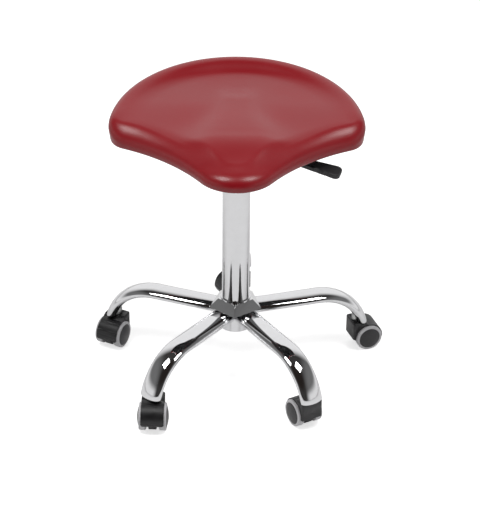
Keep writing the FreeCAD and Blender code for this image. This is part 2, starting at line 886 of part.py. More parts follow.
class Plan:
    """The outline, drawn in by inset all the way round."""

    def __init__(self, inset):
        spot = FreeCAD.Vector
        self.rear = spot(0, S.rear_centre.value, 0)
        self.wing = spot(S.half_width.value - S.wing_radius.value, S.wing_centre.value, 0)
        self.nose = spot(0, S.nose_centre.value, 0)
        self.wing_radius = S.wing_radius.value - inset
        self.nose_radius = S.nose_radius.value - inset
        self.flank_radius = S.flank_radius.value + inset
        self.rear_radius = (self.wing - self.rear).Length + self.wing_radius
        apart = self.wing - self.nose
        from_nose = self.nose_radius + self.flank_radius
        from_wing = self.wing_radius + self.flank_radius
        span = apart.Length
        along = (from_nose ** 2 - from_wing ** 2 + span ** 2) / (2 * span)
        aside = math.sqrt(from_nose ** 2 - along ** 2)
        unit = apart * (1 / span)
        self.flank = self.nose + unit * along + spot(unit.y, -unit.x, 0) * aside
        to_nose = (self.flank - self.nose).normalize()
        to_wing = (self.flank - self.wing).normalize()
        self.nose_joint = self.nose + to_nose * self.nose_radius
        self.wing_joint = self.wing + to_wing * self.wing_radius
        self.rear_joint = self.rear + (self.wing - self.rear).normalize() * self.rear_radius

    def front(self, across):
        """How far forward the outline reaches at this distance from the middle."""
        if across < self.nose_joint.x:
            return self.nose.y - math.sqrt(self.nose_radius ** 2 - across ** 2)
        if across < self.wing_joint.x:
            side = across - self.flank.x
            return self.flank.y + math.sqrt(self.flank_radius ** 2 - side ** 2)
        side = min(across - self.wing.x, self.wing_radius)
        return self.wing.y - math.sqrt(self.wing_radius ** 2 - side ** 2)

    def back(self, across):
        if across < self.rear_joint.x:
            return self.rear.y + math.sqrt(self.rear_radius ** 2 - across ** 2)
        side = min(across - self.wing.x, self.wing_radius)
        return self.wing.y + math.sqrt(self.wing_radius ** 2 - side ** 2)

    def points(self, count):
        """Points along the right half of the outline."""
        reach = self.wing.x + self.wing_radius
        spots = []
        for number in range(count + 1):
            across = reach * math.sin(math.pi / 2 * number / count)
            spots.append(FreeCAD.Vector(across, self.front(across), 0))
            spots.append(FreeCAD.Vector(across, self.back(across), 0))
        return spots


def mirrored(spot):
    return FreeCAD.Vector(-spot.x, spot.y, spot.z)


def draw_plan(body, lift, inset):
    """The seat's outline as a sketch of six arcs, each tangent to the next."""
    plan = Plan(inset.value)
    sketch = new_sketch(body, "XY_Plane", lift)
    up = FreeCAD.Vector(0, 0, 1)

    def arc(centre, radius, start, end):
        angles = [math.atan2(p.y - centre.y, p.x - centre.x) for p in (start, end)]
        circle = Part.Circle(centre, up, radius)
        return sketch.addGeometry(Part.ArcOfCircle(circle, *angles), False)

    right = plan.rear_joint
    left = mirrored(right)
    rear = arc(plan.rear, plan.rear_radius, right, left)
    left_wing = arc(mirrored(plan.wing), plan.wing_radius, left, mirrored(plan.wing_joint))
    left_flank = arc(mirrored(plan.flank), plan.flank_radius, mirrored(plan.nose_joint),
                     mirrored(plan.wing_joint))
    nose = arc(plan.nose, plan.nose_radius, mirrored(plan.nose_joint), plan.nose_joint)
    right_flank = arc(plan.flank, plan.flank_radius, plan.wing_joint, plan.nose_joint)
    right_wing = arc(plan.wing, plan.wing_radius, plan.wing_joint, right)
    joints = (
        (rear, 2, left_wing, 1),
        (left_wing, 2, left_flank, 2),
        (left_flank, 1, nose, 1),
        (nose, 2, right_flank, 2),
        (right_flank, 1, right_wing, 1),
        (right_wing, 2, rear, 1),
    )
    for first, first_end, second, second_end in joints:
        sketch.addConstraint(
            Sketcher.Constraint("Tangent", first, first_end, second, second_end)
        )
    fix_point(sketch, rear, 3, 0, S.rear_centre)
    fix_point(sketch, nose, 3, 0, S.nose_centre)
    bind(sketch, "Radius", (nose,), S.nose_radius - inset)
    bind(sketch, "DistanceX", (-1, 1, right_wing, 3), S.half_width - S.wing_radius)
    for wing, flank in ((left_wing, left_flank), (right_wing, right_flank)):
        bind(sketch, "DistanceY", (-1, 1, wing, 3), S.wing_centre)
        bind(sketch, "Radius", (wing,), S.wing_radius - inset)
        bind(sketch, "Radius", (flank,), S.flank_radius + inset)
    return sketch


# The top of the seat is one smooth surface: a rolled rim all round, a dish behind, and a ridge
# that runs forward from it between the thighs to the nose


def share_between(value, low, high):
    """0 below low, 1 above high, and a smooth step between them."""
    share = min(max((value - low) / (high - low), 0.0), 1.0)
    return share * share * (3 - 2 * share)


def rim_level(y):
    """The height of the seat's edge: highest at the rear, lowest at the nose."""
    middle = S.wing_centre.value
    wing = S.wing_height.value
    if y > middle:
        plan = Plan(S.crown_radius.value)
        top, end = S.rim_height.value, plan.rear.y + plan.rear_radius
    else:
        top, end = S.nose_height.value, S.nose_centre.value - S.nose_radius.value
    return S.seat_bottom.value + wing + (top - wing) * (y - middle) / (end - middle)


def inner_level(x, y):
    """The height of the sitting surface away from the rim."""
    front = S.thigh_height.value + 3 * (x / S.half_width.value) ** 2
    height = front + (S.dish_height.value - front) * share_between(y, -60, 60)
    height += (S.nose_height.value - 1 - front) * share_between(-y, 60, 175)
    ridge = S.ridge_rise.value / (1 + (x / S.ridge_width.value) ** 4)
    ridge *= 1 - 0.55 * share_between(y, -50, 60)
    ridge *= 1 - share_between(y, 60, 150)
    ridge *= 1 - 0.75 * share_between(-y, 70, 175)
    return S.seat_bottom.value + height + ridge


def make_top_surface():
    """The surface through a grid of points that reaches a little past the outline."""
    plan = Plan(0.0)
    edge = plan.points(200)
    past = S.crown_radius.value
    left = -S.half_width.value - past
    front = plan.nose.y - plan.nose_radius - past
    back = plan.rear.y + plan.rear_radius + past
    columns, lines = 36, 32
    grid = []
    for column in range(columns + 1):
        x = left * (1 - 2 * column / columns)
        side = abs(x)
        line = []
        for number in range(lines + 1):
            y = front + (back - front) * number / lines
            depth = 0.0
            if side < S.half_width.value and plan.front(side) < y < plan.back(side):
                depth = min((FreeCAD.Vector(side, y, 0) - spot).Length for spot in edge)
            roll = share_between(depth, S.crown_radius.value * 0.6, S.rim_roll.value)
            level = rim_level(y)
            line.append(FreeCAD.Vector(x, y, level + (inner_level(x, y) - level) * roll))
        grid.append(line)
    surface = Part.BSplineSurface()
    surface.interpolate(grid)
    return surface.toShape()


TOP_SURFACE = make_top_surface()


def seat_form(name, inset):
    """The seat's shape, inset from the outside of the cover: a leaning wall round the outline,
    cut off under the top surface, with its upper edge rounded into a crown."""
    above = S.rim_height + S.crown_radius
    wall = new_body(name + "_wall")
    sections = []
    for height in (inset, above):
        lean = S.widest_height - height
        drawn_in = Size(S.wall_lean.value * lean.value / S.widest_height.value,
                        "(Sizes.wall_lean * %s / Sizes.widest_height)" % lean.formula)
        sections.append(draw_plan(wall, S.seat_bottom + height, inset + drawn_in))
    loft = wall.newObject("PartDesign::AdditiveLoft", name + "_loft")
    loft.Profile = sections[0]
    loft.Sections = [sections[1]]
    loft.Ruled = True
    doc.recompute()
    lowered = TOP_SURFACE.translated(FreeCAD.Vector(0, 0, -inset.value))
    solid = wall.Shape.common(lowered.extrude(FreeCAD.Vector(0, 0, -2 * above.value))).Solids[0]
    top = [f for f in solid.Faces if type(f.Surface) is Part.BSplineSurface]
    top.sort(key=lambda face: face.Area)
    crown = S.crown_radius.value - inset.value
    feature = doc.addObject("Part::Feature", name)
    feature.Shape = solid.makeFillet(crown, top[-1].OuterWire.Edges).Solids[0]
    return feature


def plan_block(name, low, high, inset):
    """A block of the seat's outline between two heights."""
    body = new_body(name)
    pad(body, draw_plan(body, low, inset), high - low)
    return body


board_low = S.seat_bottom + S.skin
board_high = board_low + S.board_thickness
hem_hole = plan_block("hem_hole", S.seat_bottom - S.skin, board_high, S.hem_inset)
cover_outside = seat_form("cover_outside", as_size(0))
cover_inside = seat_form("cover_inside", S.skin)
shell = doc.addObject("Part::Feature", "cover_shell")
shell.Shape = Part.makeSolid(
    Part.makeCompound([cover_outside.Shape.Shells[0], cover_inside.Shape.Shells[0].reversed()])
)
keep(cut("seat_cover", shell, hem_hole), "seat_cover")

foam_form = seat_form("foam_form", S.skin + S.glue_gap)
below_board = doc.addObject("Part::Box", "below_board")
for side, length in (
    ("Length", S.half_width * 3),
    ("Width", S.half_width * 3),
    ("Height", board_high - S.seat_bottom + S.board_thickness),
    ("Placement.Base.x", S.half_width * -1.5),
    ("Placement.Base.y", S.half_width * -1.5),
    ("Placement.Base.z", S.seat_bottom - S.board_thickness),
):
    below_board.setExpression(side, length.formula)
keep(cut("seat_foam", foam_form, below_board), "seat_foam")


# Seat board: plywood, drilled for the four T-nuts that the mechanism bolts into


bolt_spots = [(S.bolt_spacing_x / 2 * x, S.bolt_spacing_y / 2 * y) for x, y in CORNERS]


def make_board():
    body = plan_block("seat_board", board_low, board_high, S.board_inset)
    barrels = new_sketch(body, "XY_Plane", board_high)
    circles(barrels, S.t_nut_barrel, bolt_spots)
    pocket(body, barrels, S.board_thickness)
    flanges = new_sketch(body, "XY_Plane", board_high)
    circles(flanges, S.t_nut_flange, bolt_spots)
    pocket(body, flanges, S.t_nut_thickness)
    return keep(body, "seat_board")


def four_of(maker, name, label):
    """Four like fasteners in one node, one at each bolt hole."""
    masters = []
    for number, (across, along) in enumerate(bolt_spots):
        body = maker("%s_%d" % (name, number + 1))
        body.setExpression("Placement.Base.x", across.formula)
        body.setExpression("Placement.Base.y", along.formula)
        masters.append(body)
    group = doc.addObject("Part::Compound", label)
    group.Links = masters
    return keep(group, label)


plate_top = board_low - S.dust_cover_skin
plate_low = plate_top - S.plate_thickness


def make_t_nut(name):
    flange_low = board_high - S.t_nut_thickness
    return turned(
        name,
        (
            (S.bolt_radius, board_low),
            (S.t_nut_barrel, board_low),
            (S.t_nut_barrel, flange_low),
            (S.t_nut_flange, flange_low),
            (S.t_nut_flange, board_high),
            (S.bolt_radius, board_high),
        ),
    )


def make_bolt(name):
    """A hexagon head under the plate, and a shank up into its T-nut."""
    body = new_body(name)
    head = new_sketch(body, "XY_Plane", plate_low - S.bolt_head_height)
    corners = []
    for number in range(6):
        turn = math.radians(60 * number)
        across = Size(S.bolt_head_radius.value * math.cos(turn),
                      "(%s * %r)" % (S.bolt_head_radius.formula, round(math.cos(turn), 12)))
        up = Size(S.bolt_head_radius.value * math.sin(turn),
                  "(%s * %r)" % (S.bolt_head_radius.formula, round(math.sin(turn), 12)))
        corners.append((across, up))
    outline(head, corners)
    pad(body, head, S.bolt_head_height)
    shank = new_sketch(body, "XY_Plane", plate_low)
    circles(shank, S.bolt_radius, ((0, 0),))
    pad(body, shank, S.bolt_length)
    return body


make_board()
four_of(make_t_nut, "t_nut", "t_nuts")
four_of(make_bolt, "bolt", "mounting_bolts")


# Dust cover: thin black cloth over the hem and the board, stapled round its edge. It steps up
# inside the hem and lies flat under the mechanism's plate


def make_dust_cover():
    body = plan_block("dust_cover", S.seat_bottom - S.dust_cover_skin, S.seat_bottom,
                      S.dust_cover_inset)
    inner = S.hem_inset + S.glue_gap
    pad(body, draw_plan(body, S.seat_bottom - S.dust_cover_skin, inner),
        board_low - S.seat_bottom + S.dust_cover_skin)
    recess = draw_plan(body, S.seat_bottom - S.dust_cover_skin, inner + S.dust_cover_step)
    pocket(body, recess, board_low - S.seat_bottom, upwards=True)
    holes = new_sketch(body, "XY_Plane", board_low)
    circles(holes, S.bolt_radius, bolt_spots)
    pocket(body, holes, S.dust_cover_skin * 2)
    return keep(body, "dust_cover")


make_dust_cover()


def staple_spots():
    """Points round the outline a staple apart, each with the way the edge runs there."""
    plan = Plan(S.staple_inset.value)
    rear_end = plan.rear + FreeCAD.Vector(0, plan.rear_radius, 0)
    nose_end = plan.nose - FreeCAD.Vector(0, plan.nose_radius, 0)
    runs = (
        (plan.rear, rear_end, plan.rear_joint),
        (plan.wing, plan.rear_joint, plan.wing_joint),
        (plan.flank, plan.wing_joint, plan.nose_joint),
        (plan.nose, plan.nose_joint, nose_end),
    )
    spots = []
    for centre, first, last in runs:
        arms = [spot - centre for spot in (first, last)]
        start, end = [math.degrees(math.atan2(arm.y, arm.x)) for arm in arms]
        if end - start > 180:
            end -= 360
        if start - end > 180:
            end += 360
        radius = arms[0].Length
        count = max(1, round(math.radians(abs(end - start)) * radius / STAPLE_SPACING))
        for number in range(count):
            angle = start + (end - start) * (number + 0.5) / count
            turn = math.radians(angle)
            across = centre.x + radius * math.cos(turn)
            along = centre.y + radius * math.sin(turn)
            spots.append((across, along, angle + 90))
            spots.append((-across, along, 90 - angle))
    return spots


def make_staples():
    """Thin wire staples: a crown against the dust cover and two legs up into the board."""
    wire = S.staple_wire.value
    width = S.staple_width.value
    top = S.seat_bottom.value - S.dust_cover_skin.value
    crown = Part.makeBox(width, wire * 2, wire, FreeCAD.Vector(-width / 2, -wire, top - wire))
    legs = [
        Part.makeBox(wire, wire * 2, S.staple_depth.value + wire,
                     FreeCAD.Vector(x, -wire, top - wire))
        for x in (-width / 2, width / 2 - wire)
    ]
    staple = crown.fuse(legs).removeSplitter()
    copies = []
    for across, along, turn in staple_spots():
        one = staple.copy()
        one.rotate(FreeCAD.Vector(), FreeCAD.Vector(0, 0, 1), turn)
        one.translate(FreeCAD.Vector(across, along, 0))
        copies.append(one)
    feature = doc.addObject("Part::Feature", "staples")
    feature.Shape = Part.makeCompound(copies)
    return keep(feature, "staples")


make_staples()


# Seat mechanism: a pressed plate under the board with a welded channel, lugs for the lever's
# pin, and the tapered socket that sits on the gas cylinder


lever_level = valve_top + S.glue_gap + S.lever_rod_radius
lever_turn = -S.lever_angle.value


def make_mechanism_plate():
    body = new_body("mechanism_plate_body")
    flat = new_sketch(body, "XY_Plane", plate_low)
    outline(flat, rectangle(-S.plate_width / 2, S.plate_width / 2,
                            -S.plate_length / 2, S.plate_length / 2))
    pad(body, flat, S.plate_thickness)

    def corners(edge):
        return edge.BoundBox.ZLength > S.plate_thickness.value * 0.9

    soften(body, S.plate_corner, corners)
    wall = S.plate_thickness
    half = S.channel_width / 2
    trough = new_sketch(body, "XZ_Plane")
    outline(
        trough,
        (
            (-half, plate_low),
            (-half, channel_low + S.channel_corner, S.channel_corner, 1),
            (-(half - S.channel_corner), channel_low),
            (half - S.channel_corner, channel_low, S.channel_corner, 1),
            (half, channel_low + S.channel_corner),
            (half, plate_low),
            (half - wall, plate_low),
            (half - wall, channel_low + S.channel_corner, S.channel_corner - wall, -1),
            (half - S.channel_corner, channel_low + wall),
            (-(half - S.channel_corner), channel_low + wall, S.channel_corner - wall, -1),
            (-(half - wall), channel_low + S.channel_corner),
            (-(half - wall), plate_low),
        ),
    )
    pad(body, trough, S.channel_length, both_ways=True)
    bore = new_sketch(body, "XY_Plane", channel_low)
    circles(bore, S.socket_radius, ((0, 0),))
    pocket(body, bore, S.plate_thickness, upwards=True)
    holes = new_sketch(body, "XY_Plane", plate_low)
    circles(holes, S.bolt_radius, bolt_spots)
    pocket(body, holes, S.plate_thickness, upwards=True)
    middle = Size(half.value * math.tan(math.radians(lever_turn)),
                  "(%s * tan(0 deg - Sizes.lever_angle * 1 deg))" % half.formula)
    slot = new_sketch(body, "XY_Plane", plate_low)
    outline(slot, rectangle(half - wall * 2, half + wall, middle - S.lever_slot / 2,
                            middle + S.lever_slot / 2))
    pocket(body, slot, S.lever_rod_radius * 5)
    return body


def make_lugs():
    """Two lugs under the plate that carry the lever's pin."""
    body = new_body("lever_lugs")
    top = plate_low
    bottom = plate_low - S.lug_drop
    for side in (1, -1):
        sketch = new_sketch(body, "XZ_Plane", (S.lug_gap / 2) * side)
        outline(sketch, rectangle(S.lever_pivot - S.lug_length / 2,
                                  S.lever_pivot + S.lug_length / 2, bottom, top))
        pad(body, sketch, S.lug_thickness, downwards=side < 0)
    hole = new_sketch(body, "XZ_Plane")
    circles(hole, S.lever_pin_radius, ((S.lever_pivot, lever_level),))
    pocket(body, hole, S.lever_pin_length * 2, both_ways=True)
    return body


bracket = doc.addObject("Part::MultiFuse", "mechanism_plate")
lug_halves = make_lugs()
lug_halves.Placement = FreeCAD.Placement(
    FreeCAD.Vector(), FreeCAD.Rotation(FreeCAD.Vector(0, 0, 1), lever_turn)
)
bracket.Shapes = [make_mechanism_plate(), lug_halves]
keep(bracket, "mechanism_plate")


def cone_at(height):
    """The radius of the cylinder's tapered end at this height."""
    share = (height.value - cone_low.value) / S.cone_length.value
    formula = "(Sizes.cylinder_radius - Sizes.cone_taper * (%s - %s) / Sizes.cone_length)"
    return Size(S.cylinder_radius.value - S.cone_taper.value * share,
                formula % (height.formula, cone_low.formula))


socket_top = channel_low + S.socket_height
keep(
    turned(
        "cone_socket",
        (
            (cone_at(channel_low), channel_low),
            (S.socket_radius, channel_low),
            (S.socket_radius, socket_top),
            (cone_at(socket_top), socket_top),
        ),
    ),
    "cone_socket",
)


# Height lever: a bent steel rod on a cross pin, whose inner end presses the release pin when
# the plastic paddle on its outer end is pulled up


def rounded_path(points, radius):
    """Straight runs with an arc of this radius at each bend."""
    edges = []
    last = points[0]
    for before, corner, after in zip(points, points[1:], points[2:]):
        inwards = (before - corner).normalize()
        outwards = (after - corner).normalize()
        half_turn = (math.pi - inwards.getAngle(outwards)) / 2
        back = radius * math.tan(half_turn)
        start, end = corner + inwards * back, corner + outwards * back
        bisector = (inwards + outwards).normalize()
        centre = corner + bisector * (radius / math.cos(half_turn))
        middle = centre - bisector * radius
        edges.append(Part.LineSegment(last, start).toShape())
        edges.append(Part.Arc(start, middle, end).toShape())
        last = end
    edges.append(Part.LineSegment(last, points[-1]).toShape())
    return Part.Wire(edges)


def make_lever_rod():
    level = lever_level.value
    droop = math.radians(S.lever_droop.value)
    reach = S.lever_rod_length.value
    bend = FreeCAD.Vector(S.lever_bend_start.value, 0, level)
    points = [
        FreeCAD.Vector(-S.lever_inner_end.value, 0, level),
        bend,
        bend + FreeCAD.Vector(math.cos(droop), 0, -math.sin(droop)) * reach,
    ]
    path = rounded_path(points, S.lever_bend_radius.value)
    profile = Part.Wire(
        Part.Circle(points[0], FreeCAD.Vector(1, 0, 0), S.lever_rod_radius.value).toShape()
    )
    rod = doc.addObject("Part::Feature", "lever_bar")
    rod.Shape = path.makePipeShell([profile], True, False)
    hole = doc.addObject("Part::Cylinder", "lever_rod_hole")
    clearance = S.lever_pin_radius + S.shaft_clearance
    hole.setExpression("Radius", clearance.formula)
    hole.setExpression("Height", S.lever_pin_length.formula)
    hole.Placement = FreeCAD.Placement(
        FreeCAD.Vector(S.lever_pivot.value, S.lever_pin_length.value / 2, level),
        FreeCAD.Rotation(FreeCAD.Vector(1, 0, 0), 90),
    )
    return keep(cut("lever_rod", rod, hole), "lever_rod", turn=lever_turn)


def make_lever_pin():
    pin = doc.addObject("Part::Cylinder", "lever_pin_bar")
    pin.setExpression("Radius", S.lever_pin_radius.formula)
    pin.setExpression("Height", S.lever_pin_length.formula)
    pin.Placement = FreeCAD.Placement(
        FreeCAD.Vector(S.lever_pivot.value, S.lever_pin_length.value / 2, lever_level.value),
        FreeCAD.Rotation(FreeCAD.Vector(1, 0, 0), 90),
    )
    group = doc.addObject("Part::Compound", "lever_pin")
    group.Links = [pin]
    return keep(group, "lever_pin", turn=lever_turn)


def make_lever_grip():
    """The paddle: it widens towards a blunt end, with two finger notches along its front edge,
    and it is slipped over the end of the rod. It is drawn along the rod, from the bend."""
    body = new_body("lever_paddle")
    plan = new_sketch(body, "XY_Plane", -S.grip_thickness / 2)
    start = S.grip_start
    end = S.grip_start + S.grip_length
    half = S.grip_width / 2
    neck = S.grip_neck / 2
    corner = S.grip_corner
    outline(
        plan,
        (
            (start, -neck),
            (end - corner, -half, corner, 1),
            (end, -half + corner),
            (end, half - corner, corner, 1),
            (end - corner, half),
            (start, neck),
        ),
    )
    pad(body, plan, S.grip_thickness)
    soften(body, S.grip_rounding, lambda edge: edge.BoundBox.ZLength < 0.01)
    notches = new_sketch(body, "XY_Plane", -S.grip_thickness / 2)
    for share in (0.5, 0.72):
        across = S.grip_start + S.grip_length * share
        edge = -(neck + (half - neck) * share) - S.grip_notch + S.grip_notch_depth
        circles(notches, S.grip_notch, ((across, edge),))
    pocket(body, notches, S.grip_thickness, upwards=True)
    bore = new_sketch(body, "YZ_Plane", start)
    circles(bore, S.lever_rod_radius, ((0, 0),))
    pocket(body, bore, S.lever_rod_length - S.grip_start, upwards=True)
    keep(body, "lever_grip")
    upright = FreeCAD.Rotation(FreeCAD.Vector(0, 0, 1), lever_turn)
    tilt = FreeCAD.Rotation(FreeCAD.Vector(0, 1, 0), S.lever_droop.value)
    bend = FreeCAD.Vector(S.lever_bend_start.value, 0, lever_level.value)
    body.Placement = FreeCAD.Placement(upright.multVec(bend), upright * tilt)
    return body


make_lever_rod()
make_lever_pin()
make_lever_grip()


# Checks, and one file for each piece


doc.recompute()
for thing in doc.Objects:
    if "Invalid" in thing.State or "Error" in thing.State:
        raise RuntimeError("%s (%s) failed: %s" % (thing.Name, thing.Label, thing.State))
os.makedirs("parts", exist_ok=True)
for piece in PIECES:
    shape = piece.Shape
    if shape.isNull() or not shape.isValid() or not shape.Solids:
        raise RuntimeError(piece.Label + " has no valid solid")
for piece in PIECES:
    piece.Shape.exportStep("parts/%s.step" % piece.Label)
print("%d pieces" % len(PIECES))
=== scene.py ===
import json
import math

import bpy
import numpy as np
from mathutils import Matrix, Vector

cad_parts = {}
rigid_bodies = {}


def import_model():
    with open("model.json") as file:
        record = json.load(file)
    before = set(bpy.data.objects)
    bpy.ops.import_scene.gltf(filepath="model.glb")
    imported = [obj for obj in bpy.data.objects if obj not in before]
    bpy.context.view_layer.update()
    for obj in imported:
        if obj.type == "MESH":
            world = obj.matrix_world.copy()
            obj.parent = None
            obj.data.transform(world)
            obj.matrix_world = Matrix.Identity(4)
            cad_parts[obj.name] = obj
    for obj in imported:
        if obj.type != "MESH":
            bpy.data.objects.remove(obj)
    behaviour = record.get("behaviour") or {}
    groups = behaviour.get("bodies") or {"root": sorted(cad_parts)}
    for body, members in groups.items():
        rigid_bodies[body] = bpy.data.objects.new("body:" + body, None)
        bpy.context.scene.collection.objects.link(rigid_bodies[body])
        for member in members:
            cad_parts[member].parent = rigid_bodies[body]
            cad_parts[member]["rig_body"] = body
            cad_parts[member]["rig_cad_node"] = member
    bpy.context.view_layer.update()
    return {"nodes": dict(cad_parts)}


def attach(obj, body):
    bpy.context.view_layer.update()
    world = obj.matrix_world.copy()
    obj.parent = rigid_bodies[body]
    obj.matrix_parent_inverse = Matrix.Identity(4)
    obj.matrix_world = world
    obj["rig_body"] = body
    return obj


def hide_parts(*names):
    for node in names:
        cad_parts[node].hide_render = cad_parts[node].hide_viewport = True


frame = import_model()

# Camera: a long lens about four metres away, looking down at the stool from a little above a
# standing person's chest, and turned by half a degree. Nothing in the view is out of focus.
bpy.ops.object.select_all(action="DESELECT")
bpy.ops.object.camera_add(location=(0.007278, -3.60511, 2.50833))
camera = bpy.context.object
camera.name = "camera"
camera.rotation_euler = (
    Matrix.Rotation(math.radians(57.807), 3, "X") @ Matrix.Rotation(math.radians(0.527), 3, "Z")
).to_euler()
camera.data.sensor_fit = "HORIZONTAL"
camera.data.sensor_width = 36.0
camera.data.lens = 177.46
bpy.context.scene.camera = camera
bpy.context.scene.view_settings.view_transform = "Standard"


# Studio: a pale painted floor that runs out of sight, two soft boxes overhead, and a white room.
# The room is bright behind the stool and low down at its sides, and dim behind the camera, so that
# bright metal has something dark to show.
floor_size = 60
floor_lift = 0.68
floor_in_metal = 0.18
to_back_wall = (0.0, 0.94, 0.34)
over_camera = (0.0, -0.62, 0.78)
soft_box_width = 0.9
soft_box_depth = 0.8
soft_boxes = (("left", (-0.92, -0.60, 2.50), 26.5), ("right", (0.96, -0.56, 2.50), 25.0))


def linear(hex_colour):
    """A colour written as sRGB hex, as the linear one that Blender mixes."""
    shares = [int(hex_colour[at:at + 2], 16) / 255 for at in (1, 3, 5)]
    return tuple(s / 12.92 if s <= 0.04045 else ((s + 0.055) / 1.055) ** 2.4 for s in shares) + (1,)


def add_node(tree, kind, inputs=None, **settings):
    """Adds a node, sets it, and fills or links its inputs."""
    node = tree.nodes.new("ShaderNode" + kind)
    for name, value in settings.items():
        setattr(node, name, value)
    for name, value in (inputs or {}).items():
        if isinstance(value, bpy.types.NodeSocket):
            tree.links.new(value, node.inputs[name])
        else:
            node.inputs[name].default_value = value
    return node


bpy.ops.mesh.primitive_plane_add(size=floor_size, location=(0, 0, 0))
studio_floor = bpy.context.object
studio_floor.name = "studio_floor"
floor_paint = bpy.data.materials.new("pale_matt_floor_paint")
floor_paint.use_nodes = True
tree = floor_paint.node_tree
tree.nodes.clear()
paint = add_node(tree, "BsdfDiffuse", {"Color": linear("#ececec")})
rays = add_node(tree, "LightPath")
mirrored = add_node(tree, "Math", {0: rays.outputs["Is Glossy Ray"],
                                   1: rays.outputs["Is Transmission Ray"]}, operation="MAXIMUM")
in_metal = add_node(tree, "Math", {0: mirrored.outputs[0], 1: floor_in_metal},
                    operation="MULTIPLY")
lift = add_node(tree, "Math", {0: rays.outputs["Is Camera Ray"], 1: floor_lift,
                               2: in_metal.outputs[0]}, operation="MULTIPLY_ADD")
glow = add_node(tree, "Emission", {"Color": (1, 1, 1, 1), "Strength": lift.outputs[0]})
both = add_node(tree, "AddShader", {0: paint.outputs[0], 1: glow.outputs[0]})
add_node(tree, "OutputMaterial", {"Surface": both.outputs[0]})
studio_floor.data.materials.append(floor_paint)

white_room = bpy.data.worlds.new("white_room")
bpy.context.scene.world = white_room
white_room.use_nodes = True
tree = white_room.node_tree
tree.nodes.clear()
way = add_node(tree, "TexCoord")
towards = add_node(tree, "VectorMath", {0: way.outputs["Generated"], 1: to_back_wall},
                   operation="DOT_PRODUCT")
lit = add_node(tree, "MapRange", {"Value": towards.outputs["Value"], "From Min": 0.60,
                                  "From Max": 0.91}, interpolation_type="SMOOTHSTEP")
overhead = add_node(tree, "VectorMath", {0: way.outputs["Generated"], 1: over_camera},
                    operation="DOT_PRODUCT")
dark = add_node(tree, "MapRange", {"Value": overhead.outputs["Value"], "From Min": 0.78,
                                   "From Max": 0.95}, interpolation_type="SMOOTHSTEP")
front = add_node(tree, "Mix", {"Factor": dark.outputs["Result"], 6: (0.05, 0.048, 0.047, 1),
                               7: (0.025, 0.02, 0.018, 1)}, data_type="RGBA")
across = add_node(tree, "SeparateXYZ", {0: way.outputs["Generated"]})
sideways = add_node(tree, "Math", {0: across.outputs["X"]}, operation="ABSOLUTE")
aside = add_node(tree, "MapRange", {"Value": sideways.outputs[0], "From Min": 0.42,
                                    "From Max": 0.80}, interpolation_type="SMOOTHSTEP")
low = add_node(tree, "MapRange", {"Value": across.outputs["Z"], "From Min": 0.12,
                                  "From Max": 0.42, "To Min": 0.95, "To Max": 0.20},
               interpolation_type="SMOOTHSTEP")
near = add_node(tree, "Mix", {"Factor": aside.outputs["Result"], 6: front.outputs[2],
                              7: low.outputs["Result"]}, data_type="RGBA")
walls = add_node(tree, "Mix", {"Factor": lit.outputs["Result"], 6: near.outputs[2],
                               7: (1.06, 1.06, 1.06, 1)}, data_type="RGBA")
rays = add_node(tree, "LightPath")
shown = add_node(tree, "Mix", {"Factor": rays.outputs["Is Camera Ray"], 6: walls.outputs[2],
                               7: (1, 1, 1, 1)}, data_type="RGBA")
room = add_node(tree, "Background", {"Color": shown.outputs[2], "Strength": 1.0})
add_node(tree, "OutputWorld", {"Surface": room.outputs[0]})

for side, place, power in soft_boxes:
    aim = Vector((0, 0, 0.3)) - Vector(place)
    bpy.ops.object.light_add(type="AREA", location=place,
                             rotation=aim.to_track_quat("-Z", "Y").to_euler())
    soft_box = bpy.context.object
    soft_box.name = "soft_box_" + side
    soft_box.data.shape = "RECTANGLE"
    soft_box.data.size = soft_box_width
    soft_box.data.size_y = soft_box_depth
    soft_box.data.energy = power


# Castors: each has a moulded nylon hood over two nylon discs with soft polyurethane treads. The
# discs turn on a plain steel axle, and the hood turns on a steel stem with a split grip ring.
def new_finish(name):
    """A material with its shader, and the coordinates of the piece it lies on."""
    finish = bpy.data.materials.new(name)
    finish.use_nodes = True
    place = add_node(finish.node_tree, "TexCoord").outputs["Object"]
    return finish, finish.node_tree, finish.node_tree.nodes["Principled BSDF"], place


def select_only(piece):
    """Selects one piece and makes it the active one."""
    bpy.ops.object.select_all(action="DESELECT")
    piece.select_set(True)
    bpy.context.view_layer.objects.active = piece


def free_copy(node, name):
    """A copy of a node that belongs to no body yet, selected."""
    piece = frame["nodes"][node].copy()
    piece.data = piece.data.copy()
    piece.name = name
    piece.parent = None
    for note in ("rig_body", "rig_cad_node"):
        del piece[note]
    bpy.context.scene.collection.objects.link(piece)
    select_only(piece)
    return piece


def dress(nodes, finish):
    """Gives one finish to nodes that keep the shape they came with."""
    for node in nodes:
        skin = frame["nodes"][node].data
        skin.materials.clear()
        skin.materials.append(finish)


# Nylon from a spark-eroded mould: a satin black with a fine grit that scatters its highlights,
# and handling marks that leave it a little shinier in places.
hood_nylon, tree, surface, place = new_finish("black_moulded_nylon")
grit = add_node(tree, "TexNoise", {"Vector": place, "Scale": 1400.0, "Detail": 3.0})
handling = add_node(tree, "TexNoise", {"Vector": place, "Scale": 60.0, "Detail": 4.0})
shade = add_node(tree, "Mix", {"Factor": handling.outputs["Fac"], 6: linear("#100f11"),
                               7: linear("#1b1a1c")}, data_type="RGBA")
shine = add_node(tree, "MapRange", {"Value": handling.outputs["Fac"], "From Min": 0.3,
                                    "From Max": 0.7, "To Min": 0.36, "To Max": 0.5})
relief = add_node(tree, "Bump", {"Height": grit.outputs["Fac"], "Strength": 0.25,
                                 "Distance": 0.00012})
tree.links.new(shade.outputs[2], surface.inputs["Base Color"])
tree.links.new(shine.outputs[0], surface.inputs["Roughness"])
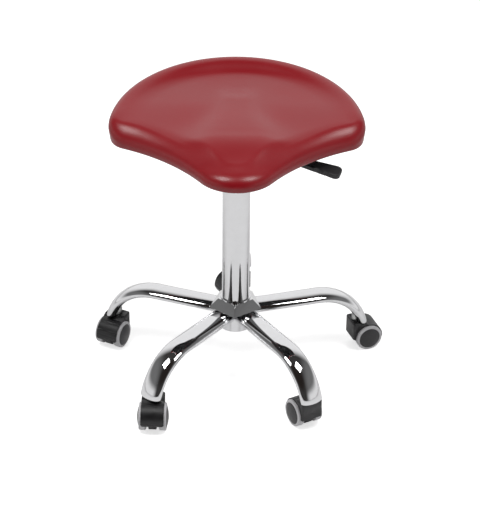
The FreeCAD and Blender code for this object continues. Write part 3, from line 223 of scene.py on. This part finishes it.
tree.links.new(relief.outputs[0], surface.inputs["Normal"])
surface.inputs["IOR"].default_value = 1.53

# The discs are nylon too, in a charcoal whose tone and shine vary a little from place to place.
disc_nylon, tree, surface, place = new_finish("charcoal_moulded_nylon")
grit = add_node(tree, "TexNoise", {"Vector": place, "Scale": 1200.0, "Detail": 3.0})
rubbed = add_node(tree, "TexNoise", {"Vector": place, "Scale": 90.0, "Detail": 5.0})
shade = add_node(tree, "Mix", {"Factor": rubbed.outputs["Fac"], 6: linear("#201f21"),
                               7: linear("#2f2d30")}, data_type="RGBA")
shine = add_node(tree, "MapRange", {"Value": rubbed.outputs["Fac"], "From Min": 0.3,
                                    "From Max": 0.7, "To Min": 0.34, "To Max": 0.48})
relief = add_node(tree, "Bump", {"Height": grit.outputs["Fac"], "Strength": 0.2,
                                 "Distance": 0.0001})
tree.links.new(shade.outputs[2], surface.inputs["Base Color"])
tree.links.new(shine.outputs[0], surface.inputs["Roughness"])
tree.links.new(relief.outputs[0], surface.inputs["Normal"])
surface.inputs["IOR"].default_value = 1.53

# Polyurethane cast round the disc: a soft grey that is dull from rolling, with dust in its skin.
tread_rubber, tree, surface, place = new_finish("grey_cast_polyurethane")
dust = add_node(tree, "TexNoise", {"Vector": place, "Scale": 160.0, "Detail": 6.0})
skin = add_node(tree, "TexNoise", {"Vector": place, "Scale": 1500.0, "Detail": 2.0})
shade = add_node(tree, "Mix", {"Factor": dust.outputs["Fac"], 6: linear("#c2c1c4"),
                               7: linear("#d4d3d5")}, data_type="RGBA")
relief = add_node(tree, "Bump", {"Height": skin.outputs["Fac"], "Strength": 0.3,
                                 "Distance": 0.0001})
tree.links.new(shade.outputs[2], surface.inputs["Base Color"])
tree.links.new(relief.outputs[0], surface.inputs["Normal"])
surface.inputs["Roughness"].default_value = 0.55

# Zinc plate on turned steel: a soft grey shine with the fine lines that the tool left.
zinc_plate, tree, surface, place = new_finish("zinc_plated_turned_steel")
stretched = add_node(tree, "Mapping", {"Vector": place, "Scale": (60.0, 60.0, 2600.0)})
lines = add_node(tree, "TexNoise", {"Vector": stretched.outputs[0], "Scale": 1.0, "Detail": 3.0})
bloom = add_node(tree, "TexNoise", {"Vector": place, "Scale": 220.0, "Detail": 4.0})
shade = add_node(tree, "Mix", {"Factor": bloom.outputs["Fac"], 6: linear("#a9abad"),
                               7: linear("#cfcfcc")}, data_type="RGBA")
relief = add_node(tree, "Bump", {"Height": lines.outputs["Fac"], "Strength": 0.15,
                                 "Distance": 0.00005})
tree.links.new(shade.outputs[2], surface.inputs["Base Color"])
tree.links.new(relief.outputs[0], surface.inputs["Normal"])
surface.inputs["Metallic"].default_value = 1.0
surface.inputs["Roughness"].default_value = 0.32

castor_numbers = range(1, 6)
castor_circle = 0.235
castor_trail = 0.0175
wheel_radius = 0.025
web_radius = 0.0238
web_width = 0.0142
web_edge = 0.0012
first_arm = math.radians(88.2)
arm_step = math.radians(72)
headings = (213.0, 243.8, 268.0, 119.1, 20.5)
for number, heading in zip(castor_numbers, headings):
    arm_turn = first_arm + arm_step * (number - 1)
    turn = math.radians(heading)
    hub = (castor_circle * math.cos(arm_turn) + castor_trail * math.cos(turn),
           castor_circle * math.sin(arm_turn) + castor_trail * math.sin(turn), wheel_radius)
    bpy.ops.object.select_all(action="DESELECT")
    bpy.ops.mesh.primitive_cylinder_add(vertices=72, radius=web_radius, depth=web_width,
                                        location=hub, rotation=(math.pi / 2, 0, turn))
    web = bpy.context.object
    rim = web.modifiers.new("rim", "BEVEL")
    rim.width = web_edge
    rim.segments = 3
    bpy.ops.object.modifier_apply(modifier="rim")
    bpy.ops.object.transform_apply(location=True, rotation=True, scale=True)
    housing = free_copy("castor_%d_hood" % number, "castor_%d_housing" % number)
    bpy.ops.object.mode_set(mode="EDIT")
    bpy.ops.mesh.select_all(action="SELECT")
    bpy.ops.mesh.remove_doubles(threshold=0.000005)
    bpy.ops.object.mode_set(mode="OBJECT")
    web.select_set(True)
    bpy.ops.object.join()
    bpy.ops.object.shade_smooth_by_angle(angle=math.radians(35))
    housing.data.materials.clear()
    housing.data.materials.append(hood_nylon)
    for face in housing.data.polygons:
        face.material_index = 0
    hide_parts("castor_%d_hood" % number)
    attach(housing, "castor_%d" % number)
dress(["castor_%d_axle" % number for number in castor_numbers], zinc_plate)
for hand in ("left", "right"):
    dress(["castor_%d_%s_wheel" % (number, hand) for number in castor_numbers], disc_nylon)
    dress(["castor_%d_%s_tread" % (number, hand) for number in castor_numbers], tread_rubber)
dress(["castor_stems"], zinc_plate)


# Arms: five lengths of oval steel tube, bent once over a former, mitred against each other where
# they meet the hub, cut level at the castor's end, and then chromed with the whole base.
arm_width = 0.044
arm_depth = 0.020
arm_wall = 0.0015
arm_height = 0.123
arm_start = 0.024
arm_tail = 0.09
cut_edge = 0.0004
bend_start = 0.156
bend_radius = 0.090
bend_angle = math.radians(68)
arm_end = 0.0595

# Bright nickel and chrome plate on polished tube: a mirror that shows the room, with a little
# unevenness left by the polishing wheel and a faint haze where it was wiped.
chrome, tree, surface, place = new_finish("bright_chrome_plate")
wheel_marks = add_node(tree, "TexNoise", {"Vector": place, "Scale": 28.0, "Detail": 2.0})
wiped = add_node(tree, "TexNoise", {"Vector": place, "Scale": 75.0, "Detail": 6.0,
                                    "Roughness": 0.7})
shine = add_node(tree, "MapRange", {"Value": wiped.outputs["Fac"], "From Min": 0.35,
                                    "From Max": 0.75, "To Min": 0.035, "To Max": 0.09})
shade = add_node(tree, "Mix", {"Factor": wiped.outputs["Fac"], 6: linear("#dddddf"),
                               7: linear("#d3d3d4")}, data_type="RGBA")
relief = add_node(tree, "Bump", {"Height": wheel_marks.outputs["Fac"], "Strength": 0.35,
                                 "Distance": 0.0004})
tree.links.new(shade.outputs[2], surface.inputs["Base Color"])
tree.links.new(shine.outputs[0], surface.inputs["Roughness"])
tree.links.new(relief.outputs[0], surface.inputs["Normal"])
surface.inputs["Metallic"].default_value = 1.0


def finish_shape(piece):
    """Puts the piece's place into its mesh and leaves its object at the origin."""
    select_only(piece)
    bpy.ops.object.transform_apply(location=True, rotation=True, scale=True)


def apply_all(piece):
    """Applies the piece's modifiers from the top down."""
    select_only(piece)
    for modifier in list(piece.modifiers):
        bpy.ops.object.modifier_apply(modifier=modifier.name)


def trim(at, normal):
    """Cuts the mesh in edit mode along a plane and throws away what lies on the normal's side."""
    bpy.ops.mesh.select_all(action="SELECT")
    bpy.ops.mesh.bisect(plane_co=at, plane_no=normal, clear_outer=True, use_fill=False)


bpy.ops.object.select_all(action="DESELECT")
bpy.ops.mesh.primitive_circle_add(vertices=72, radius=1.0, location=(arm_start, 0, arm_height),
                                  rotation=(0, math.pi / 2, 0), fill_type="NOTHING")
arm = bpy.context.object
arm.scale = (arm_depth / 2, arm_width / 2, 1.0)
finish_shape(arm)
bpy.ops.object.mode_set(mode="EDIT")
bpy.ops.mesh.select_all(action="SELECT")
bpy.ops.mesh.extrude_region_move(TRANSFORM_OT_translate={"value": (bend_start - arm_start, 0, 0)})
bpy.ops.mesh.spin(steps=30, angle=bend_angle, center=(bend_start, 0, arm_height - bend_radius),
                  axis=(0, -1, 0))
bpy.ops.mesh.extrude_region_move(TRANSFORM_OT_translate={
    "value": (arm_tail * math.cos(bend_angle), 0, -arm_tail * math.sin(bend_angle))})
trim((0, 0, arm_end), (0, 0, -1))
half = arm_step / 2
trim((0, 0, 0), (-math.sin(half), math.cos(half), 0))
trim((0, 0, 0), (-math.sin(half), -math.cos(half), 0))
bpy.ops.mesh.select_all(action="SELECT")
bpy.ops.mesh.remove_doubles(threshold=0.00001)
bpy.ops.mesh.normals_make_consistent(inside=False)
bpy.ops.object.mode_set(mode="OBJECT")
wall = arm.modifiers.new("tube_wall", "SOLIDIFY")
wall.thickness = arm_wall
wall.offset = -1.0
edge = arm.modifiers.new("cut_edge", "BEVEL")
edge.width = cut_edge
edge.segments = 2
edge.angle_limit = math.radians(50)
apply_all(arm)
bpy.ops.object.shade_smooth_by_angle(angle=math.radians(40))
arm.data.materials.append(chrome)
for number in castor_numbers:
    tube = arm if number == 5 else arm.copy()
    if number != 5:
        tube.data = arm.data.copy()
        bpy.context.scene.collection.objects.link(tube)
    tube.name = "chromed_arm_%d" % number
    tube.rotation_euler = (0, 0, first_arm + arm_step * (number - 1))
    finish_shape(tube)
    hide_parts("arm_%d" % number)
    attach(tube, "base")

# Sleeves: short steel bushes welded up inside the arms' ends, which take the castors' stems.
dress(["stem_sleeves"], zinc_plate)

# Hub: a steel socket in the middle of the arms with a tapered bore for the column, and a
# five-sided gusset that closes the arms' tops against it. Both are welded and chromed.
dress(["hub"], chrome)
gusset = free_copy("hub_gusset", "welded_gusset")
bpy.ops.object.mode_set(mode="EDIT")
bpy.ops.mesh.select_all(action="SELECT")
bpy.ops.mesh.remove_doubles(threshold=0.00001)
bpy.ops.mesh.dissolve_limited(angle_limit=math.radians(2))
bpy.ops.object.mode_set(mode="OBJECT")
edge_round = 0.0035
bead = gusset.modifiers.new("rounded_edges", "BEVEL")
bead.width = edge_round
bead.segments = 5
bead.angle_limit = math.radians(25)
apply_all(gusset)
bpy.ops.object.shade_smooth_by_angle(angle=math.radians(40))
gusset.data.materials.clear()
gusset.data.materials.append(chrome)
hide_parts("hub_gusset")
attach(gusset, "base")

# Column: the outer tube of the gas lift, chromed, wedged into the hub by its taper, with a
# black guide bush in its mouth for the cylinder that slides in it.
dress(["column_tube"], chrome)
bush_plastic, tree, surface, place = new_finish("black_acetal")
grit = add_node(tree, "TexNoise", {"Vector": place, "Scale": 900.0, "Detail": 2.0})
shade = add_node(tree, "Mix", {"Factor": grit.outputs["Fac"], 6: linear("#151516"),
                               7: linear("#1d1d1f")}, data_type="RGBA")
relief = add_node(tree, "Bump", {"Height": grit.outputs["Fac"], "Strength": 0.15,
                                 "Distance": 0.0001})
tree.links.new(shade.outputs[2], surface.inputs["Base Color"])
tree.links.new(relief.outputs[0], surface.inputs["Normal"])
surface.inputs["Roughness"].default_value = 0.38
dress(["guide_bush"], bush_plastic)

# Gas lift: the ground cylinder that rises with the seat, its rod down to the column's foot, the
# washers, balls and clip that it turns on there, a rubber stop, and the pin that opens its valve.
dress(["piston_rod"], chrome)
dress(["bearing_washers", "bearing_balls", "retaining_clip", "release_pin"], zinc_plate)

# Painted steel: black powder coat, baked on, with the low waves of an orange's peel.
powder_coat, tree, surface, place = new_finish("black_powder_coat")
peel = add_node(tree, "TexNoise", {"Vector": place, "Scale": 420.0, "Detail": 2.0})
cloud = add_node(tree, "TexNoise", {"Vector": place, "Scale": 35.0, "Detail": 3.0})
shade = add_node(tree, "Mix", {"Factor": cloud.outputs["Fac"], 6: linear("#171718"),
                               7: linear("#202021")}, data_type="RGBA")
relief = add_node(tree, "Bump", {"Height": peel.outputs["Fac"], "Strength": 0.3,
                                 "Distance": 0.0002})
tree.links.new(shade.outputs[2], surface.inputs["Base Color"])
tree.links.new(relief.outputs[0], surface.inputs["Normal"])
surface.inputs["Roughness"].default_value = 0.4
dress(["gas_cylinder"], powder_coat)

# The stop is black rubber, moulded, with a dull skin.
stop_rubber, tree, surface, place = new_finish("black_moulded_rubber")
pores = add_node(tree, "TexNoise", {"Vector": place, "Scale": 700.0, "Detail": 4.0})
shade = add_node(tree, "Mix", {"Factor": pores.outputs["Fac"], 6: linear("#141414"),
                               7: linear("#232322")}, data_type="RGBA")
relief = add_node(tree, "Bump", {"Height": pores.outputs["Fac"], "Strength": 0.3,
                                 "Distance": 0.0002})
tree.links.new(shade.outputs[2], surface.inputs["Base Color"])
tree.links.new(relief.outputs[0], surface.inputs["Normal"])
surface.inputs["Roughness"].default_value = 0.75
dress(["rubber_buffer"], stop_rubber)

# Mechanism: a folded steel channel on a plate, with a tapered socket that the cylinder wedges
# into, held to the seat's board by four bolts. It is powder coated black.
dress(["mechanism_plate", "cone_socket"], powder_coat)
dress(["mounting_bolts", "t_nuts", "lever_pin"], zinc_plate)

# Lever: a bent steel rod that tips on its pin and presses the valve, with a moulded nylon
# paddle on its outer end that has two shallow hollows for the fingers.
dress(["lever_rod"], powder_coat)

# The paddle's nylon is filled with glass and duller than the hoods', so its top looks dark grey.
grip_nylon, tree, surface, place = new_finish("black_glass_filled_nylon")
grit = add_node(tree, "TexNoise", {"Vector": place, "Scale": 1100.0, "Detail": 4.0})
shade = add_node(tree, "Mix", {"Factor": grit.outputs["Fac"], 6: linear("#1a181a"),
                               7: linear("#2b292b")}, data_type="RGBA")
relief = add_node(tree, "Bump", {"Height": grit.outputs["Fac"], "Strength": 0.35,
                                 "Distance": 0.00015})
tree.links.new(shade.outputs[2], surface.inputs["Base Color"])
tree.links.new(relief.outputs[0], surface.inputs["Normal"])
surface.inputs["Roughness"].default_value = 0.5
dress(["lever_grip"], grip_nylon)


# Seat board: birch plywood, sawn to the seat's outline, with its plies showing at the edge.
board_wood, tree, surface, place = new_finish("raw_birch_plywood")
across = add_node(tree, "Mapping", {"Vector": place, "Scale": (9.0, 150.0, 150.0)})
grain = add_node(tree, "TexNoise", {"Vector": across.outputs[0], "Scale": 1.0, "Detail": 8.0,
                                    "Roughness": 0.65, "Distortion": 0.4})
plies = add_node(tree, "TexWave", {"Vector": place, "Scale": 105.0, "Distortion": 0.3},
                 bands_direction="Z")
wood = add_node(tree, "Mix", {"Factor": grain.outputs["Fac"], 6: linear("#d9bd90"),
                              7: linear("#b08b5c")}, data_type="RGBA")
layered = add_node(tree, "Mix", {"Factor": plies.outputs["Fac"], 6: wood.outputs[2],
                                 7: linear("#a37f52")}, data_type="RGBA")
layered.inputs["Factor"].default_value = 0.3
relief = add_node(tree, "Bump", {"Height": grain.outputs["Fac"], "Strength": 0.3,
                                 "Distance": 0.0003})
tree.links.new(layered.outputs[2], surface.inputs["Base Color"])
tree.links.new(relief.outputs[0], surface.inputs["Normal"])
surface.inputs["Roughness"].default_value = 0.7
dress(["seat_board"], board_wood)
dress(["staples"], zinc_plate)


# Seat shape: the foam and its cover share one outline of six arcs, broad behind with a wing each
# side, hollow along the flanks and round at the nose, under a dished top with a rolled rim.
seat_bottom = 0.470
rear_centre = Vector((0, -0.0117))
wing_centre = Vector((0.183, 0.0045))
nose_centre = Vector((0, -0.105))
wing_radius = 0.042
nose_radius = 0.0775
flank_radius = 0.329
widest_height = 0.030
wall_lean = 0.004
crown_radius = 0.016
front_crown = 0.011
nose_crown = 0.004
nose_roll = 0.009
edge_fall = 0.006
rim_height = 0.045
rear_rise = 0.016
nose_drop = 0.014
thigh_height = 0.038
thigh_rise = 0.003
half_width = 0.225
dish_height = 0.046
nose_height = 0.029
slope_top = 0.068
slope_foot = 0.165
ridge_foot = 0.160
ridge_height = 0.015
ridge_half_width = 0.030
ridge_spread = 0.040
hem_turn = 0.0035
roll_end = 0.0355
middle_rear = 0.085
middle_length = 0.215
arc_steps = (("rear", 40), ("wing", 22), ("flank", 30), ("nose", 16))


def arc_points(centre, radius, start, end, steps):
    """Points along an arc, its end left out."""
    return [centre + radius * Vector((math.cos(a), math.sin(a)))
            for a in (start + (end - start) * n / steps for n in range(steps))]


def seat_outline(inset):
    """The outline, drawn in by inset, from the middle of the rear round the right to the nose
    and back round the left."""
    wing_r, nose_r, flank_r = wing_radius - inset, nose_radius - inset, flank_radius + inset
    apart = wing_centre - nose_centre
    from_nose, from_wing, span = nose_r + flank_r, wing_r + flank_r, apart.length
    along = (from_nose ** 2 - from_wing ** 2 + span ** 2) / (2 * span)
    aside = math.sqrt(from_nose ** 2 - along ** 2)
    unit = apart / span
    flank = nose_centre + unit * along + Vector((unit.y, -unit.x)) * aside
    to_wing = wing_centre - rear_centre
    rear_r = to_wing.length + wing_r
    turn = math.atan2(to_wing.y, to_wing.x)
    from_flank = flank - wing_centre
    wing_end = math.atan2(from_flank.y, from_flank.x)
    back_to_wing = wing_centre - flank
    back_to_nose = nose_centre - flank
    flank_start = math.atan2(back_to_wing.y, back_to_wing.x)
    flank_end = math.atan2(back_to_nose.y, back_to_nose.x)
    out_of_nose = flank - nose_centre
    nose_start = math.atan2(out_of_nose.y, out_of_nose.x)
    steps = dict(arc_steps)
    half = arc_points(rear_centre, rear_r, math.pi / 2, turn, steps["rear"])
    half += arc_points(wing_centre, wing_r, turn, wing_end, steps["wing"])
    half += arc_points(flank, flank_r, flank_start, flank_end, steps["flank"])
    half += arc_points(nose_centre, nose_r, nose_start, -math.pi / 2, steps["nose"])
    half.append(nose_centre + Vector((0, -nose_r)))
    left = [Vector((-p.x, p.y)) for p in half[-2:0:-1]]
    return np.array([tuple(p) for p in half + left])


def ease(value, low, high):
    """0 below low, 1 above high, and a smooth step between them."""
    share = np.clip((value - low) / (high - low), 0.0, 1.0)
    return share * share * (3 - 2 * share)


rim_line = seat_outline(0.0)
rear_end = seat_outline(crown_radius)[0][1]
nose_end = nose_centre.y - nose_radius


def depth_of(x, y):
    """How far in from the outline each point lies."""
    apart = np.hypot(x[..., None] - rim_line[:, 0], y[..., None] - rim_line[:, 1])
    return apart.min(axis=-1)


def top_height(x, y, depth):
    """The height of the sitting surface above the floor."""
    behind = rim_height + rear_rise * (y - wing_centre.y) / (rear_end - wing_centre.y)
    ahead = rim_height - nose_drop * (y - wing_centre.y) / (nose_end - wing_centre.y)
    rim = np.where(y > wing_centre.y, behind, ahead)
    rim = rim - edge_fall * ease(-y, -0.03, 0.05) * (1 - ease(-y, 0.13, 0.18))
    thigh = thigh_height + thigh_rise * (x / half_width) ** 2
    inner = thigh + (dish_height - thigh) * ease(y, -0.06, 0.06)
    inner = inner + (nose_height - thigh) * ease(-y, slope_top, slope_foot)
    half_ridge = ridge_half_width + ridge_spread * ease(-y, -0.07, 0.08)
    ridge = ridge_height / (1 + (np.abs(x) / half_ridge) ** 5)
    ridge = ridge * (1 - 0.55 * ease(y, -0.05, 0.06)) * (1 - ease(y, 0.06, 0.12))
    ridge = ridge * (1 - 0.75 * ease(-y, slope_top, ridge_foot))
    inner = inner + ridge
    behind_share = ease(y, -0.02, 0.06)
    roll = ease(depth, 0.0096 + 0.0074 * behind_share, 0.046 + 0.006 * behind_share)
    return seat_bottom + rim + (inner - rim) * roll


def wall_inset(height):
    """How far the leaning wall stands in at a height above the seat's bottom."""
    return wall_lean * (widest_height - height) / widest_height


def middle_line():
    """Where along the seat's middle each point of the outline lands as the rings close."""
    count = len(rim_line)
    share = np.minimum(np.arange(count), count - np.arange(count)) / (count / 2)
    return middle_rear - middle_length * share


def seat_rings(skin, inner_rings):
    """The seat's outside, skin in from the cover's face, as rings of points that climb the wall,
    roll over the crown and close in on a line down the middle of the top."""
    rings = []
    lean = math.atan(wall_lean / widest_height)
    level = rim_line[:, 1] * 0.0

    def ring(insets, heights):
        insets = np.broadcast_to(np.asarray(insets, float), level.shape)
        plans = {round(float(v), 7): None for v in insets}
        for key in plans:
            plans[key] = seat_outline(key)
        line = np.array([plans[round(float(v), 7)][n] for n, v in enumerate(insets)])
        return np.column_stack((line, np.broadcast_to(heights, level.shape)))

    rim_top = top_height(rim_line[:, 0], rim_line[:, 1], level) - seat_bottom
    ahead = -rim_line[:, 1]
    crown = crown_radius + front_crown * ease(ahead, -0.02, 0.045)
    crown = crown - nose_crown * ease(ahead, 0.11, 0.175)
    crown = np.minimum(crown, rim_top - 0.0085)
    centre_height = rim_top - crown
    radius = crown - skin
    reach = crown / math.cos(lean) + nose_roll * ease(ahead, 0.09, 0.165)
    for angle in np.radians(np.linspace(-90, -12, 6)):
        rings.append(ring(wall_inset(0.0) + skin + hem_turn * (1 - math.cos(angle)),
                          seat_bottom + skin + hem_turn * (1 + math.sin(angle))))
    foot = hem_turn * 1.1 + skin
    for share in np.linspace(0.08, 1.0, 9):
        height = foot + (centre_height - foot) * share
        rings.append(ring(np.round(wall_inset(height) + skin, 5), seat_bottom + height))
    for angle in np.radians(np.linspace(8, 90, 10)):
        inset = wall_inset(centre_height) + reach - (reach - skin) * math.cos(angle)
        loop = ring(np.round(inset, 5), 0.0)
        deep = depth_of(loop[:, 0], loop[:, 1])
        drop = top_height(loop[:, 0], loop[:, 1], deep) - seat_bottom - rim_top
        loop[:, 2] = seat_bottom + centre_height + drop * ease(angle, 0, math.pi / 2)
        loop[:, 2] += radius * math.sin(angle)
        rings.append(loop)
    rolled = wall_inset(centre_height) + reach
    for share in np.linspace(0, 1, 8)[1:]:
        loop = ring(np.round(rolled + (roll_end - rolled) * share, 5), 0.0)
        deep = depth_of(loop[:, 0], loop[:, 1])
        loop[:, 2] = top_height(loop[:, 0], loop[:, 1], deep) - skin
        rings.append(loop)
    last = rings[-1]
    middle = middle_line()
    for step in range(1, inner_rings + 1):
        t = step / inner_rings
        x = last[:, 0] * (1 - t)
        y = last[:, 1] * (1 - t) + middle * t
        rings.append(np.column_stack((x, y, top_height(x, y, depth_of(x, y)) - skin)))
    return rings


def skin_over(name, rings, closed_below):
    """A mesh through the rings, its last ring closed on itself down the middle."""
    count = len(rings[0])
    points = [tuple(p) for loop in rings for p in loop]
    faces = []
    for number in range(len(rings) - 1):
        low, high = number * count, (number + 1) * count
        for at in range(count):
            after = (at + 1) % count
            faces.append((low + at, high + at, high + after, low + after))
    if closed_below:
        faces.append(tuple(range(count)))
    mesh = bpy.data.meshes.new(name)
    mesh.from_pydata(points, [], faces)
    mesh.update()
    piece = bpy.data.objects.new(name, mesh)
    bpy.context.scene.collection.objects.link(piece)
    select_only(piece)
    bpy.ops.object.mode_set(mode="EDIT")
    bpy.ops.mesh.select_all(action="SELECT")
    bpy.ops.mesh.remove_doubles(threshold=0.0002)
    bpy.ops.mesh.normals_make_consistent(inside=False)
    bpy.ops.object.mode_set(mode="OBJECT")
    bpy.ops.object.shade_smooth()
    return piece


# Foam: one block moulded to the seat's form and glued down on the board, whose edge it covers.
foam_skin, tree, surface, place = new_finish("moulded_polyurethane_foam")
cells = add_node(tree, "TexVoronoi", {"Vector": place, "Scale": 900.0})
shade = add_node(tree, "Mix", {"Factor": cells.outputs["Distance"], 6: linear("#e6dfc6"),
                               7: linear("#cdc4a6")}, data_type="RGBA")
relief = add_node(tree, "Bump", {"Height": cells.outputs["Distance"], "Strength": 0.4,
                                 "Distance": 0.0004})
tree.links.new(shade.outputs[2], surface.inputs["Base Color"])
tree.links.new(relief.outputs[0], surface.inputs["Normal"])
surface.inputs["Roughness"].default_value = 0.9

foam_gap = 0.0016
board_top = 0.4835
board_edge = 0.0059
foot_rings = 5
foam_rings = seat_rings(foam_gap, 12)[foot_rings:]
for inset, height in ((board_edge, seat_bottom + foam_gap), (board_edge, board_top)):
    line = seat_outline(inset)
    foam_rings.insert(0, np.column_stack((line, np.full(len(line), height))))
moulded_foam = skin_over("moulded_foam", foam_rings, True)
moulded_foam.data.materials.append(foam_skin)
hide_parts("seat_foam")
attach(moulded_foam, "seat")

# Cover: one skin of coated cloth, stretched over the foam and stapled under the board. It shows
# no seam. The pull of the staples draws its lower edge in.
vinyl, tree, surface, place = new_finish("satin_red_vinyl")
grain = add_node(tree, "TexVoronoi", {"Vector": place, "Scale": 850.0, "Randomness": 1.0})
pores = add_node(tree, "TexNoise", {"Vector": place, "Scale": 1700.0, "Detail": 2.0})
cloud = add_node(tree, "TexNoise", {"Vector": place, "Scale": 14.0, "Detail": 5.0})
shade = add_node(tree, "Mix", {"Factor": cloud.outputs["Fac"], 6: linear("#860813"),
                               7: linear("#8d0b18")}, data_type="RGBA")
shine = add_node(tree, "MapRange", {"Value": cloud.outputs["Fac"], "From Min": 0.3,
                                    "From Max": 0.7, "To Min": 0.30, "To Max": 0.36})
rise = add_node(tree, "Mix", {"Factor": 0.35, 2: grain.outputs["Distance"],
                              3: pores.outputs["Fac"]}, data_type="FLOAT")
relief = add_node(tree, "Bump", {"Height": rise.outputs[0], "Strength": 0.18,
                                 "Distance": 0.0002})
tree.links.new(shade.outputs[2], surface.inputs["Base Color"])
tree.links.new(shine.outputs[0], surface.inputs["Roughness"])
tree.links.new(relief.outputs[0], surface.inputs["Normal"])
surface.inputs["IOR"].default_value = 1.5

hem_insets = (0.0100, 0.0170, 0.0240)
vinyl_thickness = 0.0011
cover_rings = seat_rings(0.0, 14)
for inset in hem_insets:
    line = seat_outline(inset)
    cover_rings.insert(0, np.column_stack((line, np.full(len(line), seat_bottom))))
cover = skin_over("vinyl_cover", cover_rings, False)
thickness = cover.modifiers.new("cloth_thickness", "SOLIDIFY")
thickness.thickness = vinyl_thickness
thickness.offset = -1.0
apply_all(cover)
bpy.ops.object.shade_smooth_by_angle(angle=math.radians(60))
cover.data.materials.append(vinyl)
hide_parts("seat_cover")
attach(cover, "seat")

# Dust cover: thin black cloth of bonded fibres, pulled flat under the board and stapled down
# over the cover's hem, so that it steps down from the board to the hem all round.
bonded_cloth, tree, surface, place = new_finish("black_bonded_cloth")
fibres = add_node(tree, "TexNoise", {"Vector": place, "Scale": 1300.0, "Detail": 6.0,
                                     "Distortion": 1.5})
dots = add_node(tree, "TexVoronoi", {"Vector": place, "Scale": 500.0, "Randomness": 0.2})
shade = add_node(tree, "Mix", {"Factor": fibres.outputs["Fac"], 6: linear("#121213"),
                               7: linear("#2a2a2c")}, data_type="RGBA")
relief = add_node(tree, "Bump", {"Height": dots.outputs["Distance"], "Strength": 0.5,
                                 "Distance": 0.0003})
tree.links.new(shade.outputs[2], surface.inputs["Base Color"])
tree.links.new(relief.outputs[0], surface.inputs["Normal"])
surface.inputs["Roughness"].default_value = 0.9

cloth_low = 0.46965
cloth_high = 0.47085
cloth_thickness = 0.0005
cloth_rings = []
for inset, height in ((0.0101, cloth_low), (0.0170, cloth_low), (0.0243, cloth_low),
                      (0.0253, cloth_high), (0.0355, cloth_high)):
    line = seat_outline(inset)
    cloth_rings.append(np.column_stack((line, np.full(len(line), height))))
count = len(rim_line)
middle = middle_line()
outer = cloth_rings[-1]
for t in (0.25, 0.5, 0.75, 1.0):
    cloth_rings.append(np.column_stack((outer[:, 0] * (1 - t), outer[:, 1] * (1 - t) + middle * t,
                                        np.full(count, cloth_high))))
dust_cloth = skin_over("dust_cloth", cloth_rings, False)
body = dust_cloth.modifiers.new("cloth_body", "SOLIDIFY")
body.thickness = cloth_thickness
body.offset = 0.0
apply_all(dust_cloth)
dust_cloth.data.materials.append(bonded_cloth)
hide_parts("dust_cover")
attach(dust_cloth, "seat")
